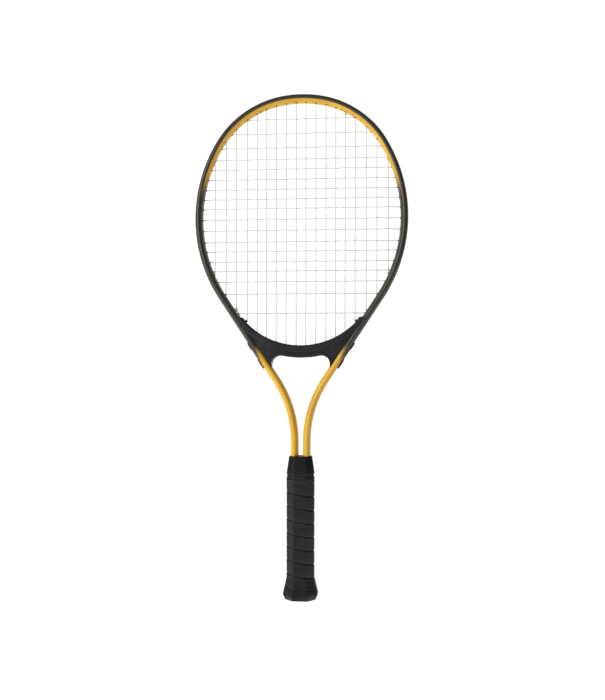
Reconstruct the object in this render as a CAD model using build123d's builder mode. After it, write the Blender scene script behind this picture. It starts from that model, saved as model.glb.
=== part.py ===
from build123d import *
import math
import os
from dataclasses import dataclass

# Adult tennis racket with a one-piece bent aluminium tube, a moulded throat bridge and a
# wrapped octagonal handle. Millimetres. +Z runs from the butt to the crown of the head, X
# across the head and Y through the strings; the origin is the centre of the butt's end face.

os.makedirs("parts", exist_ok=True)

# ---------------------------------------------------------------- driving dimensions
LENGTH = 686.0                  # butt face to crown, the 27 in adult length

# Frame tube: an oval extrusion with a string channel along its outer side
TUBE_WIDTH = 10.7               # in the plane of the head
TUBE_DEPTH = 20.0               # through the strings
TUBE_WALL = 1.0
CHANNEL_WIDTH = 5.8
CHANNEL_DEPTH = 2.6

# Centreline of the tube, from the crown down the right-hand side
CROWN_RADIUS = 156.5
CROWN_TURN = 8.0
SHOULDER_RADIUS = 126.0
SHOULDER_TURN = 51.0
SIDE_RADIUS = 195.5
LIMB_LEAN = 33.3                # how far the straight limbs stand off the racket's axis
NECK_RADIUS = 153.0
SHAFT_X = 8.25                  # centre of each shaft inside the handle
TUBE_END_Z = 24.0

# String bed: distance of each main from the axis, and height of each cross
STRING_DIAMETER = 1.3
MAIN_OFFSETS = [6.6, 20.3, 34.0, 47.2, 60.0, 73.6, 88.7, 103.0, 118.3]
CROSS_HEIGHTS = [653.5, 633.7, 614.5, 598.8, 585.3, 571.5, 557.9, 544.6, 531.7,
                 516.8, 501.8, 486.1, 473.2, 459.0, 446.2, 431.6, 414.9, 388.3]
STRING_PLANE = 1.1              # mains lie this far in front of the middle, crosses behind
PEG_MAIN = 73.6                 # the main whose barrel stands out of the bridge as a peg
TIE_MAIN = 60.0                 # tie-off holes stand beside this main at the top
LAST_TIE_MAIN = -88.7           # the last cross ties off beside this main's lower end
CHANNEL_BEND = 1.0              # radius of a string where it turns into the channel
MOUTH_BEND = 4.0                # and where it leaves a grommet on the inner side
LONGEST_SHARE = 0.45            # share of the shorter run that a bend may use up
SHARP_TURN = 45.0               # degrees: only a string that turns into the channel turns more
LEAST_TURN = 0.2                # degrees below which a point is in line with its neighbours
CHANNEL_LEAD = 6.0              # steps in which the string changes over to the crosses
TAIL_SHARES = [0.1, 0.3, 0.5, 0.7, 0.9]     # points along a tail that lies on the loops
KNOT_RADIUS = 1.42              # each knot is two turns round its main
KNOT_PITCH = 1.4
KNOT_REACH = 2.4                # from the grommet's mouth to the first turn

# Grommets
BARREL_DIAMETER = 2.6
BARREL_BORE = 2.0
BARREL_TIP = 0.3                # how far a barrel stands out of the tube's inner side
STRIP_THICKNESS = 0.6
STRIP_WIDTH = 5.6
STRIP_OVERRUN = 4.5             # length of strip past its last barrel
PEG_DIAMETER = 3.4              # the outermost barrel of the bridge stands out as a peg
PEG_TIP = 2.7
BARREL_STOP = 0.9               # barrels end this far short of the string in the channel
DRILL_LENGTH = 60.0
DRILL_SEARCH = 40.0             # length of tube searched for the place where a hole comes out
TIE_OFF_STEP = 3.6              # from a string's own hole to the tie-off hole beside it
TOP_STRIP_CROSSES = 4           # crosses held by the top strip; side strips hold the rest

# Throat bridge
BRIDGE_ARC_RADIUS = 104.0       # its upper edge completes the loop of the head
BRIDGE_ARC_LOW_Z = 344.3
BRIDGE_END_Z = 382.5
BRIDGE_SHOULDER_X = 78.5
BRIDGE_SHOULDER_ROUND = 4.0
BRIDGE_UNDERSIDE_Z = 328.0
BRIDGE_UNDERSIDE_RADIUS = 125.0
BRIDGE_CORNER_RADIUS = 12.0
BRIDGE_OPENING_X = 39.7         # half the width of the throat under the bridge
BRIDGE_PANEL_DEPTH = 15.6
BRIDGE_BAND_DEPTH = 19.4
BRIDGE_BAND_HEIGHT = 10.5
BRIDGE_BAND_ROUND = 2.6
BRIDGE_LIP_DEPTH = 18.6
BRIDGE_LIP_HEIGHT = 3.2
BRIDGE_CHANNEL_DEPTH = 3.0
BRIDGE_CHANNEL_WIDTH = 6.4
BRIDGE_CHANNEL_END = 48.0       # heading of each lower corner where the channel stops
BRIDGE_BARREL = 3.0
UNDER_STRIP_THICKNESS = 1.0
UNDER_STRIP_WIDTH = 6.0

# Saddles: strips over the outside of the tube that clamp it to the bridge. Places are
# measured up the limb from its lower end.
SADDLE_FROM, SADDLE_TO = 22.5, 63.5
SADDLE_WIDTH = 11.0
SADDLE_PROUD = 0.6
SADDLE_PADS = [(22.5, 37.0), (53.0, 63.5)]
PAD_PROUD = 1.5
PAD_WIDTH = 8.4
THROAT_SCREW_AT = 29.8
SCREW_DIAMETER = 2.9
SCREW_HEAD_DIAMETER = 5.6
SCREW_HEAD_HEIGHT = 1.4
SCREW_HEAD_RISE = 0.3           # how far the head stands out of the saddle's pad
SCREW_REACH = 12.0              # from the tube's centre to the tip, inside the bridge
SCREW_RECESS = 0.9              # depth of the cross recess in the head
SCREW_SLOT_LENGTH, SCREW_SLOT_WIDTH = 3.4, 0.9
SCREW_SEAT = TUBE_WIDTH / 2 + PAD_PROUD + SCREW_HEAD_RISE - SCREW_HEAD_HEIGHT

# Handle: two half shells, collar, grip, finishing tape and butt cap, all octagonal. Each
# octagon is (width in X, depth in Y, corner facet).
SHELL_SECTION = (33.5, 28.0, 8.4)
SHELL_FROM_Z, SHELL_TO_Z = 6.0, 160.0
GRIP_SECTION = (37.5, 32.0, 9.4)
GRIP_FROM_Z, GRIP_TO_Z = 15.0, 165.0
GRIP_FLARE_Z = 31.0
GRIP_WAIST_SECTION = (40.2, 34.7, 10.3)
GRIP_WAIST_Z = 24.0
GRIP_FOOT_SECTION = (44.2, 38.7, 11.7)
TAPE_SECTION = (38.7, 33.2, 9.7)
TAPE_FROM_Z, TAPE_TO_Z = 156.0, 168.5
COLLAR_TOP_SECTION = (30.8, 26.4, 7.6)
COLLAR_FOOT_SECTION = (37.6, 32.1, 9.4)
COLLAR_FOOT_Z, COLLAR_TOP_Z = 170.5, 194.0
COLLAR_NECK_SECTION = (35.6, 30.1, 8.9)
BUTT_FOOT_SECTION = (41.4, 35.9, 10.2)
BUTT_WIDEST_SECTION = (47.4, 41.9, 13.0)
BUTT_WIDEST_Z = 7.0
BUTT_SHOULDER_SECTION = (44.2, 38.7, 11.7)
BUTT_SKIRT_SECTION = (40.6, 35.1, 10.6)
BUTT_SKIRT_TOP_SECTION = (35.3, 29.8, 8.9)
BUTT_SKIRT_TOP_Z = 33.0
HANDLE_SCREW_DIAMETER = 3.0
HANDLE_SCREW_HEAD = 4.8
HANDLE_SCREW_LENGTH = 22.0
HANDLE_SCREW_Z = [44.0, 92.0, 140.0]
STAPLE_WIRE = 0.9
STAPLE_SPAN = 8.0
STAPLE_LEG = 3.4
STAPLE_Z = 25.0
STAPLE_FACE_X = 18.9            # outside of the butt cap's skirt at that height

# Tolerances of the layout sums
BISECTIONS = 50
SHORTEST_RUN = 1e-6
JOIN_NUDGE = 1e-9               # keeps a stretch's end on its own side of a joint


# ---------------------------------------------------------------- centreline of the tube
def outward(phi):
    """Unit vector (x, z) out of the head where the tube's heading has turned by phi."""
    return math.sin(math.radians(phi)), math.cos(math.radians(phi))


@dataclass
class Stretch:
    """An arc or a straight run of the centreline; radius is 0 on a straight run and
    negative where the tube bends away from the head's axis."""
    x: float
    z: float
    radius: float
    phi: float
    length: float
    start: float

    def at(self, along, offset):
        """Point (x, z) and heading at a length along the stretch, offset outwards."""
        if self.radius == 0:
            nx, nz = outward(self.phi)
            return self.x + along * nz + offset * nx, self.z - along * nx + offset * nz, self.phi
        phi = self.phi + math.degrees(along / self.radius)
        nx, nz = outward(phi)
        reach = self.radius + offset
        return self.x + reach * nx, self.z + reach * nz, phi


def lay_out_centreline():
    """The stretches of the right-hand half, from the crown to the tube's lower end."""
    stretches = []
    x, z, phi, start = 0.0, LENGTH - TUBE_WIDTH / 2, 0.0, 0.0

    def go_on(radius, length):
        nonlocal x, z, phi, start
        nx, nz = outward(phi)
        origin = (x - radius * nx, z - radius * nz)
        stretches.append(Stretch(*origin, radius, phi, length, start))
        x, z, phi = stretches[-1].at(length, 0.0)
        start += length

    for radius, turn in ((CROWN_RADIUS, CROWN_TURN), (SHOULDER_RADIUS, SHOULDER_TURN),
                         (SIDE_RADIUS, 90 + LIMB_LEAN - CROWN_TURN - SHOULDER_TURN)):
        go_on(radius, radius * math.radians(turn))
    lean = math.radians(LIMB_LEAN)
    neck_shift = NECK_RADIUS * (1 - math.cos(lean))
    go_on(0.0, (x - SHAFT_X - neck_shift) / math.sin(lean))
    go_on(-NECK_RADIUS, NECK_RADIUS * lean)
    go_on(0.0, z - TUBE_END_Z)
    return stretches


CENTRELINE = lay_out_centreline()
CROWN, SHOULDER, SIDE, LIMB, NECK, SHAFT = CENTRELINE
WIDEST = SHOULDER.start + SHOULDER.length + SIDE_RADIUS * math.radians(
    90 - CROWN_TURN - SHOULDER_TURN)
LIMB_END = LIMB.start + LIMB.length
LIMB_PHI = LIMB.phi


def at(s, offset=0.0):
    """Point (x, z) at length s from the crown, negative on the left-hand side."""
    for stretch in CENTRELINE:
        if abs(s) <= stretch.start + stretch.length or stretch is SHAFT:
            x, z, _ = stretch.at(abs(s) - stretch.start, offset)
            return math.copysign(x, s) if s else x, z


def outward_at(s):
    """Unit vector (x, z) out of the head at length s."""
    inner, outer = at(s, -1.0), at(s, 0.0)
    return outer[0] - inner[0], outer[1] - inner[1]


def bisect(test, low, high):
    """Where test() changes sign between low and high."""
    sign = test(low) > 0
    for _ in range(BISECTIONS):
        middle = (low + high) / 2
        if (test(middle) > 0) == sign:
            low = middle
        else:
            high = middle
    return (low + high) / 2


def draw_track(s_from, s_to, offset):
    """Draw the centreline's offset from s_from to s_to into the open BuildLine."""
    for side in (-1, 1):
        for stretch in CENTRELINE:
            ends = sorted((side * stretch.start, side * (stretch.start + stretch.length)))
            low, high = max(s_from, ends[0]), min(s_to, ends[1])
            if high - low < SHORTEST_RUN:
                continue
            if stretch.radius:
                nudge = JOIN_NUDGE * side
                ThreePointArc(at(low + nudge, offset), at((low + high) / 2, offset),
                              at(high - nudge, offset))
            else:
                Line(at(low, offset), at(high, offset))


def limb_plane(side, up, out=0.0, y=0.0):
    """A plane square to a limb, up from its lower end: local x outwards, local y along Y."""
    x, z = at(side * (LIMB_END - up), out)
    nx, nz = outward(LIMB_PHI)
    return Plane(origin=(x, y, z), x_dir=(side * nx, 0, nz), z_dir=(side * -nz, 0, nx))


# ---------------------------------------------------------------- string holes
HALF_WIDTH = TUBE_WIDTH / 2
STRIP_LEVEL = HALF_WIDTH - CHANNEL_DEPTH + STRIP_THICKNESS / 2
STRING_LEVEL = HALF_WIDTH - CHANNEL_DEPTH + STRIP_THICKNESS + STRING_DIAMETER / 2
MOUTH_LEVEL = -(HALF_WIDTH + BARREL_TIP)
BRIDGE_ARC_Z = BRIDGE_ARC_LOW_Z + BRIDGE_ARC_RADIUS


@dataclass
class Hole:
    """One grommet hole: its inner mouth and the string's place in the channel, (x, z)."""
    mouth: tuple
    out: tuple
    s: float
    y: float
    diameter: float = BARREL_DIAMETER


def bridge_top(x):
    """Height of the bridge's upper edge at x."""
    return BRIDGE_ARC_Z - math.sqrt(BRIDGE_ARC_RADIUS ** 2 - x ** 2)


def drill(mouth, pull, s_low, s_high, y, squareness=0.5, diameter=BARREL_DIAMETER):
    """A hole from its mouth to the channel, between square to the tube and along pull."""
    s_near = bisect(lambda s: math.dist(mouth, at(s + 0.01)) - math.dist(mouth, at(s - 0.01)),
                    s_low, s_high)
    nx, nz = outward_at(s_near)
    ux, uz = (nx * squareness + pull[0] * (1 - squareness),
              nz * squareness + pull[1] * (1 - squareness))

    def beside(s):
        x, z = at(s, STRING_LEVEL)
        return (x - mouth[0]) * uz - (z - mouth[1]) * ux

    s = bisect(beside, s_near - DRILL_SEARCH, s_near + DRILL_SEARCH)
    return Hole(mouth, at(s, STRING_LEVEL), s, y, diameter)


def main_holes(m):
    """Top and bottom hole of the main at signed distance m from the axis."""
    side = math.copysign(1, m)
    y = -STRING_PLANE
    s_top = bisect(lambda s: at(s, MOUTH_LEVEL)[0] - abs(m), 0.0, WIDEST)
    top = drill((m, at(s_top, MOUTH_LEVEL)[1]), (0, 1), side * s_top - DRILL_SEARCH,
                side * s_top + DRILL_SEARCH, y)
    if abs(m) < BRIDGE_OPENING_X:
        return top, None
    reach = (min(side * WIDEST, side * LIMB_END), max(side * WIDEST, side * LIMB_END))
    if abs(m) > PEG_MAIN:
        s_low = bisect(lambda s: at(s, MOUTH_LEVEL)[0] - abs(m), WIDEST, LIMB_END)
        mouth = (m, at(s_low, MOUTH_LEVEL)[1])
        return top, drill(mouth, (0, -1), *reach, y)
    if abs(m) < PEG_MAIN:
        return top, drill((m, bridge_top(m)), (0, -1), *reach, y)
    nx, nz = outward(LIMB_PHI)
    foot_x = abs(m) + PEG_TIP * nx
    mouth = (m, bridge_top(foot_x) - PEG_TIP * nz)
    return top, drill(mouth, (0, -1), *reach, y, squareness=1.0, diameter=PEG_DIAMETER)


def cross_holes(z):
    """Left and right hole of the cross at height z."""
    s = bisect(lambda s: at(s, MOUTH_LEVEL)[1] - z, 1.0, LIMB_END)
    return [drill((side * at(s, MOUTH_LEVEL)[0], z), (side, 0), side * s - DRILL_SEARCH,
                  side * s + DRILL_SEARCH, STRING_PLANE) for side in (-1, 1)]


def tie_off_hole(beside, step, y):
    """A spare hole square to the tube, a step along the tube from another hole."""
    s = beside.s + step
    return Hole(at(s, MOUTH_LEVEL), at(s, STRING_LEVEL), s, y)


MAINS = [-m for m in reversed(MAIN_OFFSETS)] + MAIN_OFFSETS
MAIN_HOLES = [main_holes(m) for m in MAINS]
CROSS_HOLES = [cross_holes(z) for z in CROSS_HEIGHTS]
tie_tops = [tie_off_hole(MAIN_HOLES[MAINS.index(m)][0], -math.copysign(TIE_OFF_STEP, m),
                         -STRING_PLANE) for m in (-TIE_MAIN, TIE_MAIN)]
tie_bottom = tie_off_hole(MAIN_HOLES[MAINS.index(LAST_TIE_MAIN)][1], -TIE_OFF_STEP,
                          STRING_PLANE)
FRAME_HOLES = ([h for pair in MAIN_HOLES for h in pair if h] +
               [h for pair in CROSS_HOLES for h in pair] + tie_tops + [tie_bottom])


def hole_plane(hole, before=0.0):
    """A plane at a hole's mouth, or before it, whose z axis runs out along the hole."""
    direction = Vector(hole.out[0] - hole.mouth[0], 0, hole.out[1] - hole.mouth[1]).normalized()
    origin = Vector(hole.mouth[0], hole.y, hole.mouth[1]) - direction * before
    return Plane(origin=origin, x_dir=(0, 1, 0), z_dir=direction)


def drill_bit(hole):
    """The drill for a hole: it starts at the mouth and runs out past the tube."""
    return Solid.make_cylinder(hole.diameter / 2, DRILL_LENGTH, hole_plane(hole))


def barrel(hole):
    """The grommet's barrel, from its mouth to the floor of the channel."""
    length = math.dist(hole.mouth, hole.out) - BARREL_STOP
    return Solid.make_cylinder(hole.diameter / 2, length, hole_plane(hole))


def barrel_bore(hole):
    """The bore of a barrel, which goes on through the strip."""
    length = math.dist(hole.mouth, hole.out) + 2 * STRIP_THICKNESS
    return Solid.make_cylinder(BARREL_BORE / 2, length, hole_plane(hole, STRIP_THICKNESS))


def throat_screw(side):
    """A pan-headed screw through a saddle and the tube into the bridge."""
    seat = limb_plane(side, THROAT_SCREW_AT, SCREW_SEAT)
    inwards = Plane(origin=seat.origin, x_dir=(0, 1, 0), z_dir=-seat.x_dir)
    shank = Solid.make_cylinder(SCREW_DIAMETER / 2, SCREW_SEAT + SCREW_REACH, inwards)
    head = Solid.make_cylinder(SCREW_HEAD_DIAMETER / 2, SCREW_HEAD_HEIGHT,
                               inwards.offset(-SCREW_HEAD_HEIGHT))
    return shank + head


def write(builder, name):
    """Label a finished piece and write its STEP file."""
    builder.part.label = name
    export_step(builder.part, f"parts/{name}.step")


throat_screws = {side: throat_screw(side) for side in (-1, 1)}

# ---------------------------------------------------------------- frame tube
crown_plane = Plane(origin=(0, 0, LENGTH - HALF_WIDTH), x_dir=(0, 1, 0), z_dir=(1, 0, 0))

with BuildSketch() as tube_bore:
    Ellipse(TUBE_DEPTH / 2 - TUBE_WALL, HALF_WIDTH - TUBE_WALL)
    with Locations((0, HALF_WIDTH)):
        Rectangle(CHANNEL_WIDTH + 2 * TUBE_WALL, 2 * (CHANNEL_DEPTH + TUBE_WALL),
                  mode=Mode.SUBTRACT)

with BuildPart() as frame_tube:
    with BuildLine(Plane.XZ) as half_path:
        draw_track(0.0, SHAFT.start + SHAFT.length, 0.0)
    with BuildSketch(crown_plane):
        Ellipse(TUBE_DEPTH / 2, HALF_WIDTH)
        with Locations((0, HALF_WIDTH)):
            Rectangle(CHANNEL_WIDTH, 2 * CHANNEL_DEPTH, mode=Mode.SUBTRACT)
        add(tube_bore.sketch, mode=Mode.SUBTRACT)
    sweep(path=half_path.wires()[0])
    mirror(about=Plane.YZ)
    add([drill_bit(hole) for hole in FRAME_HOLES] + list(throat_screws.values()),
        mode=Mode.SUBTRACT)
write(frame_tube, "frame_tube")

# ---------------------------------------------------------------- throat bridge
UNDER_Z = BRIDGE_UNDERSIDE_Z + BRIDGE_UNDERSIDE_RADIUS
CORNER_X = BRIDGE_OPENING_X - BRIDGE_CORNER_RADIUS
CORNER_PHI = -math.degrees(math.asin(CORNER_X / (BRIDGE_UNDERSIDE_RADIUS + BRIDGE_CORNER_RADIUS)))
CORNER_Z = UNDER_Z - math.sqrt((BRIDGE_UNDERSIDE_RADIUS + BRIDGE_CORNER_RADIUS) ** 2 - CORNER_X ** 2)


def corner_point(side, phi, depth=0.0):
    """Point (x, z) of a lower corner of the bridge, depth inside its surface."""
    nx, nz = outward(phi)
    reach = BRIDGE_CORNER_RADIUS + depth
    return side * (CORNER_X + reach * nx), CORNER_Z + reach * nz


def under_point(x, depth):
    """Point (x, z) on the bridge's underside, depth inside its surface."""
    turn_x = corner_point(1, CORNER_PHI, depth)[0]
    if abs(x) < turn_x:
        return x, UNDER_Z - math.sqrt((BRIDGE_UNDERSIDE_RADIUS - depth) ** 2 - x ** 2)
    reach = BRIDGE_CORNER_RADIUS + depth
    return x, CORNER_Z + math.sqrt(reach ** 2 - (abs(x) - CORNER_X) ** 2)


def draw_underside(last_phi, depth=0.0):
    """Draw the bridge's underside and both corners into the open BuildLine."""
    middle_phi = (CORNER_PHI + last_phi) / 2
    ThreePointArc(corner_point(-1, last_phi, depth), corner_point(-1, middle_phi, depth),
                  corner_point(-1, CORNER_PHI, depth))
    ThreePointArc(corner_point(-1, CORNER_PHI, depth), under_point(0, depth),
                  corner_point(1, CORNER_PHI, depth))
    ThreePointArc(corner_point(1, CORNER_PHI, depth), corner_point(1, middle_phi, depth),
                  corner_point(1, last_phi, depth))


def underside_plane(last_phi):
    """A plane square to the underside's left end: local x into the bridge, y along Y."""
    nx, nz = outward(last_phi)
    x, z = corner_point(-1, last_phi)
    return Plane(origin=(x, 0, z), x_dir=(-nx, 0, nz), z_dir=(nz, 0, nx))


limb_foot = at(LIMB_END)
limb_slope = math.tan(math.radians(LIMB_LEAN))
side_wall_foot = (BRIDGE_OPENING_X, limb_foot[1] + (BRIDGE_OPENING_X - limb_foot[0]) / limb_slope)
end_corner = (limb_foot[0] + (BRIDGE_END_Z - limb_foot[1]) * limb_slope, BRIDGE_END_Z)
peg_foot_x = PEG_MAIN + PEG_TIP * outward(LIMB_PHI)[0]

with BuildSketch(Plane.XZ) as bridge_face:
    with BuildLine():
        draw_underside(90.0)
        ThreePointArc((-peg_foot_x, bridge_top(peg_foot_x)), (0, bridge_top(0)),
                      (peg_foot_x, bridge_top(peg_foot_x)))
        for side in (-1, 1):
            Polyline(*[(side * x, z) for x, z in (
                corner_point(1, 90.0), side_wall_foot, end_corner,
                (BRIDGE_SHOULDER_X, BRIDGE_END_Z), (peg_foot_x, bridge_top(peg_foot_x)))])
    make_face()
    fillet(bridge_face.vertices().filter_by(
        lambda v: abs(abs(v.X) - BRIDGE_SHOULDER_X) < 0.01), BRIDGE_SHOULDER_ROUND)

with BuildPart() as bridge_band:
    with BuildSketch(Plane.XZ):
        with Locations((0, BRIDGE_ARC_Z)):
            Circle(BRIDGE_ARC_RADIUS + BRIDGE_BAND_HEIGHT)
            Circle(BRIDGE_ARC_RADIUS, mode=Mode.SUBTRACT)
    extrude(amount=BRIDGE_BAND_DEPTH / 2, both=True)
    fillet(bridge_band.edges().filter_by(GeomType.CIRCLE), BRIDGE_BAND_ROUND)
    extrude(bridge_face.sketch, amount=TUBE_DEPTH, both=True, mode=Mode.INTERSECT)

with BuildPart() as throat_bridge:
    extrude(bridge_face.sketch, amount=BRIDGE_PANEL_DEPTH / 2, both=True)
    add(bridge_band.part)
    with BuildLine(Plane.XZ) as lip_path:
        draw_underside(90.0)
    with BuildSketch(underside_plane(90.0)):
        Rectangle(BRIDGE_LIP_HEIGHT, BRIDGE_LIP_DEPTH, align=(Align.MIN, Align.CENTER))
    sweep(path=lip_path.wires()[0])
    with BuildLine(Plane.XZ) as channel_path:
        draw_underside(BRIDGE_CHANNEL_END)
    with BuildSketch(underside_plane(BRIDGE_CHANNEL_END)):
        with Locations((BRIDGE_CHANNEL_DEPTH, 0)):
            Rectangle(2 * BRIDGE_CHANNEL_DEPTH, BRIDGE_CHANNEL_WIDTH,
                      align=(Align.MAX, Align.CENTER))
    sweep(path=channel_path.wires()[0], mode=Mode.SUBTRACT)
    for side in (-1, 1):
        with BuildSketch(limb_plane(side, 0.0)):
            Ellipse(HALF_WIDTH, TUBE_DEPTH / 2)
        extrude(amount=LIMB.length, mode=Mode.SUBTRACT)
    straight_bores = [Solid.make_cylinder(BRIDGE_BARREL / 2, LENGTH, Plane(
        origin=(m, -STRING_PLANE, 0))) for m in MAINS if abs(m) < BRIDGE_OPENING_X]
    slanted_bores = [drill_bit(hole) for pair in MAIN_HOLES for hole in pair[1:] if hole]
    add(straight_bores + slanted_bores + list(throat_screws.values()), mode=Mode.SUBTRACT)
write(throat_bridge, "throat_bridge")

# ---------------------------------------------------------------- grommet strips
def make_strip(name, holes):
    """A strip in the tube's channel with one tubular barrel for each of its holes."""
    s_from = min(hole.s for hole in holes) - STRIP_OVERRUN
    s_to = max(hole.s for hole in holes) + STRIP_OVERRUN
    nx, nz = outward_at(s_from)
    x, z = at(s_from, STRIP_LEVEL)
    with BuildPart() as strip:
        with BuildLine(Plane.XZ) as strip_path:
            draw_track(s_from, s_to, STRIP_LEVEL)
        with BuildSketch(Plane(origin=(x, 0, z), x_dir=(nx, 0, nz), z_dir=(nz, 0, -nx))):
            Rectangle(STRIP_THICKNESS, STRIP_WIDTH)
        sweep(path=strip_path.wires()[0])
        add([barrel(hole) for hole in holes])
        add([barrel_bore(hole) for hole in holes], mode=Mode.SUBTRACT)
    write(strip, name)


first_side_cross = CROSS_HOLES[TOP_STRIP_CROSSES]
top_crosses = [hole for pair in CROSS_HOLES[:TOP_STRIP_CROSSES] for hole in pair]
make_strip("grommet_strip_top", [pair[0] for pair in MAIN_HOLES] + top_crosses + tie_tops)
for index, side, hand in ((0, -1, "left"), (1, 1, "right")):
    lower = [pair[1] for m, pair in zip(MAINS, MAIN_HOLES) if m * side > PEG_MAIN]
    crosses = [pair[index] for pair in CROSS_HOLES[TOP_STRIP_CROSSES:]]
    spare = [tie_bottom] if side < 0 else []
    make_strip(f"grommet_strip_{hand}", lower + crosses + spare)
    make_strip(f"throat_strip_{hand}", [
        pair[1] for m, pair in zip(MAINS, MAIN_HOLES)
        if BRIDGE_OPENING_X < m * side <= PEG_MAIN])

with BuildPart() as bridge_strip:
    with BuildLine(Plane.XZ) as bridge_strip_path:
        draw_underside(BRIDGE_CHANNEL_END - 1.0, BRIDGE_CHANNEL_DEPTH - UNDER_STRIP_THICKNESS / 2)
    with BuildSketch(underside_plane(BRIDGE_CHANNEL_END - 1.0)):
        with Locations((BRIDGE_CHANNEL_DEPTH - UNDER_STRIP_THICKNESS / 2, 0)):
            Rectangle(UNDER_STRIP_THICKNESS, UNDER_STRIP_WIDTH)
    sweep(path=bridge_strip_path.wires()[0])
    tubes, tube_bores = [], []
    for m in MAINS:
        if abs(m) < BRIDGE_OPENING_X:
            foot = under_point(m, BRIDGE_CHANNEL_DEPTH - UNDER_STRIP_THICKNESS / 2)[1]
            plane = Plane(origin=(m, -STRING_PLANE, foot))
            rise = bridge_top(m) + BARREL_TIP - foot
            tubes.append(Solid.make_cylinder(BRIDGE_BARREL / 2, rise, plane))
            tube_bores.append(Solid.make_cylinder(BARREL_BORE / 2, 2 * rise, plane.offset(-rise / 2)))
    add(tubes)
    add(tube_bores, mode=Mode.SUBTRACT)
write(bridge_strip, "bridge_strip")

# ---------------------------------------------------------------- saddles and their screws
for side, hand in ((-1, "left"), (1, "right")):
    with BuildPart() as saddle:
        with BuildSketch(limb_plane(side, SADDLE_FROM)):
            Ellipse(HALF_WIDTH + SADDLE_PROUD, TUBE_DEPTH / 2 + SADDLE_PROUD)
            Rectangle(TUBE_DEPTH, SADDLE_WIDTH, align=(Align.MIN, Align.CENTER),
                      mode=Mode.INTERSECT)
            Ellipse(HALF_WIDTH, TUBE_DEPTH / 2, mode=Mode.SUBTRACT)
        extrude(amount=SADDLE_TO - SADDLE_FROM)
        for pad_from, pad_to in SADDLE_PADS:
            with BuildSketch(limb_plane(side, pad_from)):
                Ellipse(HALF_WIDTH + PAD_PROUD, TUBE_DEPTH / 2 + PAD_PROUD)
                Rectangle(TUBE_DEPTH, PAD_WIDTH, align=(Align.MIN, Align.CENTER),
                          mode=Mode.INTERSECT)
                Ellipse(HALF_WIDTH, TUBE_DEPTH / 2, mode=Mode.SUBTRACT)
            extrude(amount=pad_to - pad_from)
        with BuildSketch(limb_plane(side, SADDLE_PADS[0][0])):
            with Locations((HALF_WIDTH - CHANNEL_DEPTH, 0)):
                Rectangle(CHANNEL_DEPTH + SADDLE_PROUD / 2, STRIP_WIDTH,
                          align=(Align.MIN, Align.CENTER))
        extrude(amount=SADDLE_PADS[0][1] - SADDLE_PADS[0][0])
        add(throat_screws[side], mode=Mode.SUBTRACT)
    write(saddle, f"throat_saddle_{hand}")
    head_top = limb_plane(side, THROAT_SCREW_AT, SCREW_SEAT + SCREW_HEAD_HEIGHT)
    with BuildPart() as screw:
        add(throat_screws[side])
        with BuildSketch(Plane(origin=head_top.origin, x_dir=(0, 1, 0), z_dir=head_top.x_dir)):
            Rectangle(SCREW_SLOT_LENGTH, SCREW_SLOT_WIDTH)
            Rectangle(SCREW_SLOT_WIDTH, SCREW_SLOT_LENGTH)
        extrude(amount=-SCREW_RECESS, mode=Mode.SUBTRACT)
    write(screw, f"throat_screw_{hand}")

# ---------------------------------------------------------------- strings
def bend_radii(points):
    """A radius for each corner of a route, as large as its runs and its place allow."""
    radii = []
    for before, here, after in zip(points, points[1:], points[2:]):
        run_in, run_out = Vector(*here) - Vector(*before), Vector(*after) - Vector(*here)
        turn = run_in.get_angle(run_out)
        room = LONGEST_SHARE * min(run_in.length, run_out.length)
        limit = CHANNEL_BEND if turn > SHARP_TURN else MOUTH_BEND
        radii.append(min(limit, room / math.tan(math.radians(turn / 2))))
    return radii


def without_straights(points):
    """The route without the points that lie in line with their neighbours."""
    kept = [points[0]]
    for here, after in zip(points[1:], points[2:]):
        run_in, run_out = Vector(*here) - Vector(*kept[-1]), Vector(*after) - Vector(*here)
        if run_in.get_angle(run_out) > LEAST_TURN:
            kept.append(here)
    return kept + [points[-1]]


def hole_route(hole, y, outwards):
    """The points of a string through a hole, in the order that it takes them."""
    points = [(hole.mouth[0], y, hole.mouth[1]), (hole.out[0], y, hole.out[1])]
    return points if outwards else points[::-1]


def bridge_route(m, y, outwards):
    """The same for a main that passes straight through the bridge."""
    level = BRIDGE_CHANNEL_DEPTH - UNDER_STRIP_THICKNESS - STRING_DIAMETER / 2
    x, z = under_point(m, level)
    points = [(m, y, bridge_top(m)), (x, y, z)]
    return points if outwards else points[::-1]


def channel_point(s, y, lift=0.0):
    """A point of a string that lies in the tube's channel."""
    x, z = at(s, STRING_LEVEL + lift)
    return x, y, z


def write_string(points, name):
    """Sweep a string along its route and report its length and tightest bend."""
    points = without_straights(points)
    radii = bend_radii(points)
    start = Plane(origin=points[0], z_dir=Vector(*points[1]) - Vector(*points[0]))
    with BuildPart() as string:
        with BuildLine() as route:
            FilletPolyline(*points, radius=radii)
        with BuildSketch(start):
            Circle(STRING_DIAMETER / 2)
        sweep(path=route.wires()[0])
    write(string, name)
    length = route.wires()[0].length
    ideal = length * math.pi * STRING_DIAMETER ** 2 / 4
    print(f"{name}: {length:.0f} mm long, least radius {min(radii):.2f} mm,"
          f" volume {string.part.volume / ideal:.4f} of its section times its length")


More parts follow.
